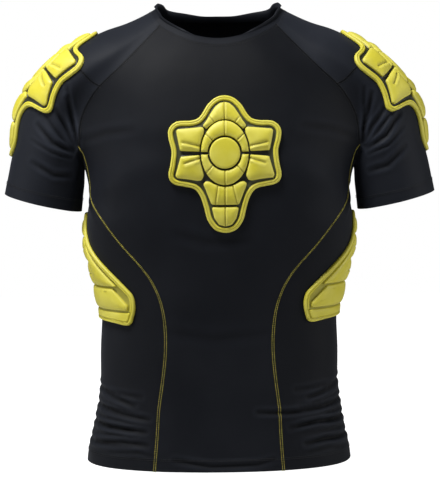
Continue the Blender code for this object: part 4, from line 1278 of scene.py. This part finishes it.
def padHeights(points, fine, parts, creases):
    depth = insideDistance(fine, points)
    heights = np.interp(depth, *zip(*rimProfile))
    raised, worn = np.zeros(len(points), bool), np.zeros(len(points))
    # painted shade along the rim's fine line and down the creases, kept in the crease mark
    line = markValues["rimLineShade"] * peak(depth, *markValues["rimLine"])
    lipAt = markValues["lipAt"]
    for _, field, profile in parts:
        inside = field(points)
        on = inside > 0
        heights[on] = np.interp(inside[on], *zip(*profile))
        raised |= on
    for first, last, deep, wide in creases:
        near = segmentDistance(points, first, last)
        way = (last - first) / np.linalg.norm(last - first)
        # the lip stands to the right of the crease, or below it
        lip = np.array((way[1], -way[0]))
        lip = lip * (lipAt * wide if lip[0] - 0.5 * lip[1] > 0 else -lipAt * wide)
        beside = segmentDistance(points, first + lip, last + lip)
        on = heights > markValues["creasedFrom"]
        crown = peak(beside, 0, wide)
        heights += np.where(on, markValues["lip"] * deep * crown - deep * peak(near, 0, wide),
                            0)
        line = np.maximum(line, np.where(on, peak(near, 0, markValues["lineWidth"] * wide),
                                         0))
        worn = np.maximum(worn, np.where(on, crown * (near > markValues["wornFrom"] * wide),
                                         0))
    # the groove mark draws the floor dark olive and carries painted shade up the foot of the
    # walls; the gap mark is painted shade, near black, in the grooves well inside the pad's
    # edge
    top = markValues["grooveTop"]
    groove = np.clip((top - heights) / (top - padValues["floor"] - markValues["grooveSoft"]),
                     0, 1) * (depth > markValues["grooveFrom"])
    gap = groove * np.clip((depth - markValues["gapFrom"]) / markValues["gapSoft"], 0, 1)
    # painted highlight: the rim's outer edge, the blocks' rounded edges and the crease lips
    # are marked to be drawn lighter
    outer = peak(depth, *markValues["rimEdge"]) * markValues["rimEdgeHighlight"]
    edge = np.maximum.reduce([peak(heights, *markValues["blockEdge"]) * raised, outer, worn])
    return heights, (groove, gap, edge, line)


def triangulate(loops, lines, outline, fill):
    points, edges = [], []
    for loop in loops:
        first = len(points)
        points += [tuple(p) for p in loop]
        edges += [(first + k, first + (k + 1) % len(loop)) for k in range(len(loop))]
    for line in lines:
        first = len(points)
        points += [tuple(p) for p in line]
        edges += [(first + k, first + k + 1) for k in range(len(line) - 1)]
    taken = KDTree(len(points))
    for k, p in enumerate(points):
        taken.insert(Vector((p[0], p[1], 0)), k)
    taken.balance()
    low, high = outline.min(axis=0), outline.max(axis=0)
    rows = int((high[1] - low[1]) / (fill * 0.866))
    grid = []
    for j in range(1, rows + 1):
        v = low[1] + j * fill * 0.866
        for u in np.arange(low[0] + 0.5 * fill * (j % 2), high[0], fill):
            grid.append((float(u), float(v)))
    grid = np.array(grid)
    grid = grid[insideDistance(outline, grid) > 0.4 * fill]
    for u, v in grid:
        if taken.find(Vector((u, v, 0)))[2] > 0.5 * fill:
            points.append((float(u), float(v)))
    verts, _, faces, source, _, _ = delaunay_2d_cdt(
        [Vector(p) for p in points], edges, [], 0, 1e-4)
    flat = np.array([(v.x, v.y) for v in verts])
    faces = np.array([tuple(f) for f in faces if len(f) == 3])
    middle = flat[faces].mean(axis=1)
    faces = faces[insideDistance(outline, middle) > 1e-3]
    ring = {}
    for k in range(len(verts)):
        for s in source[k]:
            if s < len(outline):
                ring[s] = k
    return flat, faces, [ring[s] for s in range(len(outline))]


def padObject(name, pattern, place):
    flat, faces, ring, heights, marks, outline = pattern
    lift = padValues["lift"]
    top = [place(u, v) for u, v in flat]
    verts = np.array([p + n * (lift + h) for (p, n), h in zip(top, heights)])
    lowFlat, lowFaces, lowRing = triangulate([outline], [], outline,
                                             padValues["backSpacing"])
    match = dict(zip(lowRing, ring))
    index, extra, extraFlat = {}, [], []
    for k, (u, v) in enumerate(lowFlat):
        if k in match:
            index[k] = match[k]
            continue
        p, n = place(u, v)
        index[k] = len(verts) + len(extra)
        extra.append(p + n * lift)
        extraFlat.append((u, v))
    verts = np.vstack([verts, np.array(extra)])
    solid = faces.tolist() + [[index[i] for i in reversed(f)] for f in lowFaces.tolist()]
    triples = verts[np.array(solid)]
    volume = np.einsum("ij,ij->i", triples[:, 0],
                       np.cross(triples[:, 1], triples[:, 2])).sum()
    if volume < 0:
        solid = [f[::-1] for f in solid]
    attributes = [(label, np.concatenate([values, np.zeros(len(extra))]))
                  for label, values in zip(("groove", "gap", "edge", "crease"), marks)]
    uv = np.vstack([flat, np.array(extraFlat)]) * metres
    obj = writeMesh(name, verts, [tuple(f) for f in solid], attributes=attributes, uv=uv)
    obj.data.materials.append(foam)
    return obj


def patternOf(outline, fine, centre, parts, creases, moreLoops):
    loops, lines = padPattern(outline, fine, centre, parts, creases)
    flat, faces, ring = triangulate(loops + moreLoops, lines, outline,
                                    padValues["fillSpacing"])
    heights, marks = padHeights(flat, fine, parts, creases)
    return flat, faces, ring, heights, marks, outline


# the same outline at the mesh's spacing and at a finer one, to measure from
def padOutlines(loop):
    return [curvedLoop(loop, padValues[k]) for k in ("edgeSpacing", "fineSpacing")]


def lobedPattern(scale):
    scale = np.array(scale)
    outline, fine = padOutlines(fullLoop(lobedOutline) * scale)
    return patternOf(outline, fine, np.zeros(2), *lobedParts(scale), ringLoops(scale))


# the shoulder pads' grooves are narrow, so that little light reaches them
def darkGrooves(pattern):
    flat, faces, ring, heights, (groove, gap, edge, line), outline = pattern
    return flat, faces, ring, heights, (groove, np.maximum(gap, 0.8 * groove), edge,
                                        line), outline


# the side pads' grooves are shallow and stay yellowish
def paleGrooves(pattern):
    flat, faces, ring, heights, (groove, gap, edge, line), outline = pattern
    return flat, faces, ring, heights, (groove * padValues["ribGroove"],
                                        gap * padValues["ribGap"], edge, line), outline


def ribPattern():
    outline, fine = padOutlines(fullLoop(ribOutline))
    return patternOf(outline, fine, np.array(ribBlocks["middle"]), *ribParts(fine), [])


ground = Ground(surface, surfaceQuads, surfaceNormals)
sewnGround = Ground(surface + surfaceNormals * hemRaise[:, None], surfaceQuads,
                    surfaceNormals)


def dressPad(node, pattern, place):
    name = node + "_foam"
    pad = padObject(name, pattern, place)
    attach(pad, "root")
    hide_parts(node)
    print(name, len(pad.data.polygons), "triangles")


def chestPlace(u, v):
    x, z = padValues["chestAt"]
    return ground.cast((x + u, -260, z + v), (0, 1, 0))


dressPad("chest_pad", lobedPattern((1, 1)), chestPlace)
shoulderShape = darkGrooves(lobedPattern(padValues["shoulderScale"]))
ribShape = paleGrooves(ribPattern())
for label, side in (("left", 1), ("right", -1)):
    carrier = shoulderCarrier(ground, side)
    outer, drawn = padValues["shoulderWings"]
    tall = padValues["shoulderScale"][1]
    heights = (lobedOutline[-1][1] * tall, -outer, outer, lobedOutline[0][1] * tall)
    reaches = (-padValues["shoulderDown"][side], -drawn, drawn, padValues["shoulderUp"])

    def shoulderPlace(u, v, carrier=carrier, bossAt=padValues["shoulderBoss"][side],
                      reaches=reaches):
        spread = 1 + padValues["shoulderSplay"] * (u / 84) ** 2
        flare = 1 - padValues["shoulderFlare"] * max(-outer, min(outer, v))
        return carrier.place(bossAt - float(np.interp(v, heights, reaches)) * spread,
                             u * flare)

    dressPad("shoulder_pad_" + label, shoulderShape, shoulderPlace)
    ribs = ribCarrier(ground, side)

    def ribPlace(u, v, ribs=ribs, up=padValues["ribUp"][side]):
        low, high = ribOutline[-1][1], ribOutline[0][1]
        rise = up[1] + (up[0] - up[1]) * (v - low) / (high - low)
        return ribs.place(carrierValues["ribHeights"][0] - v - rise, u)

    dressPad("side_pad_" + label, ribShape, ribPlace)


# Sewing. A row of stitches runs along a path whose points carry the cloth's normal.
def stitchTree():
    tree = bpy.data.node_groups.new("stitchRow", "GeometryNodeTree")
    tree.interface.new_socket("Seam", in_out="INPUT", socket_type="NodeSocketGeometry")
    for label, kind, value in (
            ("Pitch", "NodeSocketFloat", 0.0026), ("Length", "NodeSocketFloat", 0.0023),
            ("Width", "NodeSocketFloat", 0.0007), ("Height", "NodeSocketFloat", 0.0005),
            ("Turn", "NodeSocketFloat", 0.0), ("Seed", "NodeSocketInt", 4),
            ("Thread", "NodeSocketMaterial", None)):
        socket = tree.interface.new_socket(label, in_out="INPUT", socket_type=kind)
        if value is not None:
            socket.default_value = value
    tree.interface.new_socket("Stitches", in_out="OUTPUT",
                              socket_type="NodeSocketGeometry")
    add, link = tree.nodes.new, tree.links.new
    enter, leave = add("NodeGroupInput"), add("NodeGroupOutput")
    curve, even = add("GeometryNodeMeshToCurve"), add("GeometryNodeResampleCurve")
    even.mode = "LENGTH"
    link(enter.outputs["Seam"], curve.inputs["Mesh"])
    link(curve.outputs[0], even.inputs["Curve"])
    link(enter.outputs["Pitch"], even.inputs["Length"])
    grain = add("GeometryNodeMeshIcoSphere")
    grain.inputs["Radius"].default_value = 0.5
    grain.inputs["Subdivisions"].default_value = 1
    size, turned, shape = (add("ShaderNodeCombineXYZ"), add("ShaderNodeCombineXYZ"),
                           add("GeometryNodeTransform"))
    for label, axis in (("Length", "X"), ("Width", "Y"), ("Height", "Z")):
        link(enter.outputs[label], size.inputs[axis])
    link(enter.outputs["Turn"], turned.inputs["Z"])
    link(grain.outputs["Mesh"], shape.inputs["Geometry"])
    link(size.outputs[0], shape.inputs["Scale"])
    link(turned.outputs[0], shape.inputs["Rotation"])
    out, along = add("GeometryNodeInputNamedAttribute"), add("GeometryNodeInputTangent")
    out.data_type = "FLOAT_VECTOR"
    out.inputs["Name"].default_value = "out"
    axes = add("FunctionNodeAxesToRotation")
    axes.primary_axis, axes.secondary_axis = "Z", "X"
    link(out.outputs["Attribute"], axes.inputs["Primary Axis"])
    link(along.outputs[0], axes.inputs["Secondary Axis"])
    uneven = add("FunctionNodeRandomValue")
    uneven.data_type = "FLOAT"
    uneven.inputs[2].default_value, uneven.inputs[3].default_value = 0.88, 1.06
    link(enter.outputs["Seed"], uneven.inputs["Seed"])
    spread = add("GeometryNodeInstanceOnPoints")
    link(even.outputs[0], spread.inputs["Points"])
    link(shape.outputs[0], spread.inputs["Instance"])
    link(axes.outputs[0], spread.inputs["Rotation"])
    link(uneven.outputs[1], spread.inputs["Scale"])
    real, soft = add("GeometryNodeRealizeInstances"), add("GeometryNodeSetShadeSmooth")
    finish = add("GeometryNodeSetMaterial")
    link(spread.outputs[0], real.inputs[0])
    link(real.outputs[0], soft.inputs[0])
    link(soft.outputs[0], finish.inputs["Geometry"])
    link(enter.outputs["Thread"], finish.inputs["Material"])
    link(finish.outputs[0], leave.inputs[0])
    return tree


# the shift is a distance, or a function of the points' heights
def pathOn(chain, shift=0.0, towards=None, lift=0.15):
    points, normals = surface[chain], surfaceNormals[chain]
    closed = chain[0] == chain[-1]
    ways = np.gradient(points, axis=0)
    if closed:
        ways[0] = ways[-1] = points[1] - points[-2]
    sides = np.cross(normals, ways)
    sides /= np.linalg.norm(sides, axis=1)[:, None]
    if towards is not None and (sides @ np.array(towards, float)).mean() < 0:
        sides = -sides
    shifts = shift(points[:, 2]) if callable(shift) else np.full(len(points), shift)
    placed = [sewnGround.nearest(p + s * d) for p, s, d in zip(points, sides, shifts)]
    moved = np.array([p + n * lift for p, n in placed])
    return moved, np.array([n for _, n in placed])


def pathMesh(paths):
    verts, edges, outs = [], [], []
    for points, normals in paths:
        first = len(verts)
        verts += [tuple(p * metres) for p in points]
        outs += [tuple(n) for n in normals]
        edges += [(first + k, first + k + 1) for k in range(len(points) - 1)]
    mesh = bpy.data.meshes.new("path")
    mesh.from_pydata(verts, edges, [])
    layer = mesh.attributes.new("out", "FLOAT_VECTOR", "POINT")
    layer.data.foreach_set("vector", np.array(outs, dtype=np.float32).ravel())
    return mesh


rowTree = stitchTree()
socketOf = {item.name: item.identifier for item in rowTree.interface.items_tree
            if item.item_type == "SOCKET" and item.in_out == "INPUT"}


def sew(name, rows, settings, thread):
    path = newObject("path", pathMesh(rows))
    sewing = path.modifiers.new("stitches", "NODES")
    sewing.node_group = rowTree
    for label, value in settings.items():
        sewing[socketOf[label]] = value
    sewing[socketOf["Thread"]] = thread
    bpy.context.view_layer.update()
    made = path.evaluated_get(bpy.context.evaluated_depsgraph_get())
    mesh = bpy.data.meshes.new_from_object(made)
    bpy.data.objects.remove(path, do_unlink=True)
    mesh.name = name
    if not mesh.materials:
        mesh.materials.append(thread)
    obj = newObject(name, mesh)
    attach(obj, "root")
    print(name, sum(len(p.vertices) - 2 for p in mesh.polygons), "triangles")
    return obj


needleRow = {"Pitch": 0.0026, "Length": 0.0028, "Width": 0.0010, "Height": 0.0008,
             "Turn": 0.0, "Seed": 3}
crossRow = {"Pitch": 0.0018, "Length": 0.0030, "Width": 0.0005, "Height": 0.00045,
            "Turn": 1.05, "Seed": 8}
darkRow = {"Pitch": 0.0026, "Length": 0.0024, "Width": 0.0006, "Height": 0.0005,
           "Turn": 0.0, "Seed": 5}


# How far the rows lie from their seams, and above the cloth
rowValues = {
    "parting": ((200, 330, 430), (0.55, 0.7, 1.5)),    # drop below the collar, distance
    "needleLift": 0.3, "crossLift": 0.12, "bandLift": 0.5,
    "raglan": 1.6, "arm": 1.5, "collar": (1.4, 3.6),
    "band": (3.2, 1.0),              # below the band's upper edge
}


def partingRow(side):
    return lambda z: side * np.interp(-z, *rowValues["parting"])


sideSeams = seamChains(sidePairs)
sew("side_seam_needle_rows",
    [pathOn(c, partingRow(s), lift=rowValues["needleLift"]) for c in sideSeams
     for s in (-1, 1)], needleRow, yellowThread)
sew("side_seam_cross_threads",
    [pathOn(c, 0, lift=rowValues["crossLift"]) for c in sideSeams], crossRow, blackThread)
for name, pairs, apart in (("raglan_seam_rows", raglanPairs, rowValues["raglan"]),
                           ("arm_seam_rows", armPairs, rowValues["arm"])):
    sew(name, [pathOn(c, s) for c in seamChains(pairs) for s in (-apart, apart)], darkRow,
        blackThread)
sew("collar_seam_rows", [pathOn(c, s, towards=(0, 0, -1)) for c in seamChains(collarPairs)
                         for s in rowValues["collar"]], darkRow, blackThread)
bandRows = [clothValues["hemBand"] - below for below in rowValues["band"]]
for name, loops in (("hem_rows", [hemLoop]), ("cuff_rows", cuffLoops)):
    sew(name, [pathOn(c, s, towards=(0, 0, 1), lift=rowValues["bandLift"]) for c in loops
               for s in bandRows], darkRow, blackThread)
print("sewing done")


# Floor, light and camera
studioValues = {
    "floorSize": 4.0, "floorAt": (0, 0.6, -0.70),
    "worldLight": 0.12, "worldSeen": 1.0,      # the world's strength, lighting and seen
}
bpy.ops.mesh.primitive_plane_add(size=studioValues["floorSize"],
                                 location=studioValues["floorAt"])
floor = bpy.context.object
floor.name = "studio_floor"
pale, paleTree, paleShader = newMaterial("pale_floor", {
    "Base Color": (0.6, 0.6, 0.6, 1), "Roughness": 0.8,
    "Emission Color": (1, 1, 1, 1)})
seen = paleTree.nodes.new("ShaderNodeLightPath")
paleTree.links.new(seen.outputs["Is Camera Ray"], paleShader.inputs["Emission Strength"])
floor.data.materials.append(pale)

world = bpy.data.worlds.new("studio")
bpy.context.scene.world = world
world.use_nodes = True
sky = world.node_tree
background = sky.nodes["Background"]
skyRays = sky.nodes.new("ShaderNodeLightPath")
blendNode = sky.nodes.new("ShaderNodeMix")
blendNode.data_type = "FLOAT"
blendNode.inputs[2].default_value = studioValues["worldLight"]
blendNode.inputs[3].default_value = studioValues["worldSeen"]
sky.links.new(skyRays.outputs["Is Camera Ray"], blendNode.inputs[0])
sky.links.new(blendNode.outputs[0], background.inputs["Strength"])
background.inputs["Color"].default_value = (1, 1, 1, 1)

# name, place, aimed at, size, watts
lamps = [
    ("key", (-0.58, -0.68, 1.3), (0, 0, -0.2), 0.55, 41),
    ("left_side", (-1.7, -0.45, -0.05), (0, 0, -0.3), 1.0, 8),
    ("right_side", (1.7, -0.45, -0.05), (0, 0, -0.3), 1.0, 11),
]
for name, place, aim, size, power in lamps:
    lamp = bpy.data.lights.new(name, "AREA")
    lamp.energy, lamp.size = power, size
    holder = newObject(name, lamp)
    holder.location = place
    holder.rotation_euler = (Vector(aim) - Vector(place)).to_track_quat("-Z", "Y").to_euler()

cameraValues = {"place": (0, -2.5, -0.095), "lens": 129.84, "pitch": -4.87, "roll": 0.55}
lens = bpy.data.cameras.new("photo_view")
lens.sensor_fit = "VERTICAL"
lens.sensor_height = 36
lens.lens = cameraValues["lens"]
camera = newObject("photo_view", lens)
camera.location = cameraValues["place"]
camera.rotation_euler = (
    Matrix.Rotation(math.radians(90 + cameraValues["pitch"]), 3, "X")
    @ Matrix.Rotation(math.radians(-cameraValues["roll"]), 3, "Z")).to_euler()
bpy.context.scene.camera = camera
bpy.context.scene.view_settings.view_transform = "Standard"
print("camera and lights set")
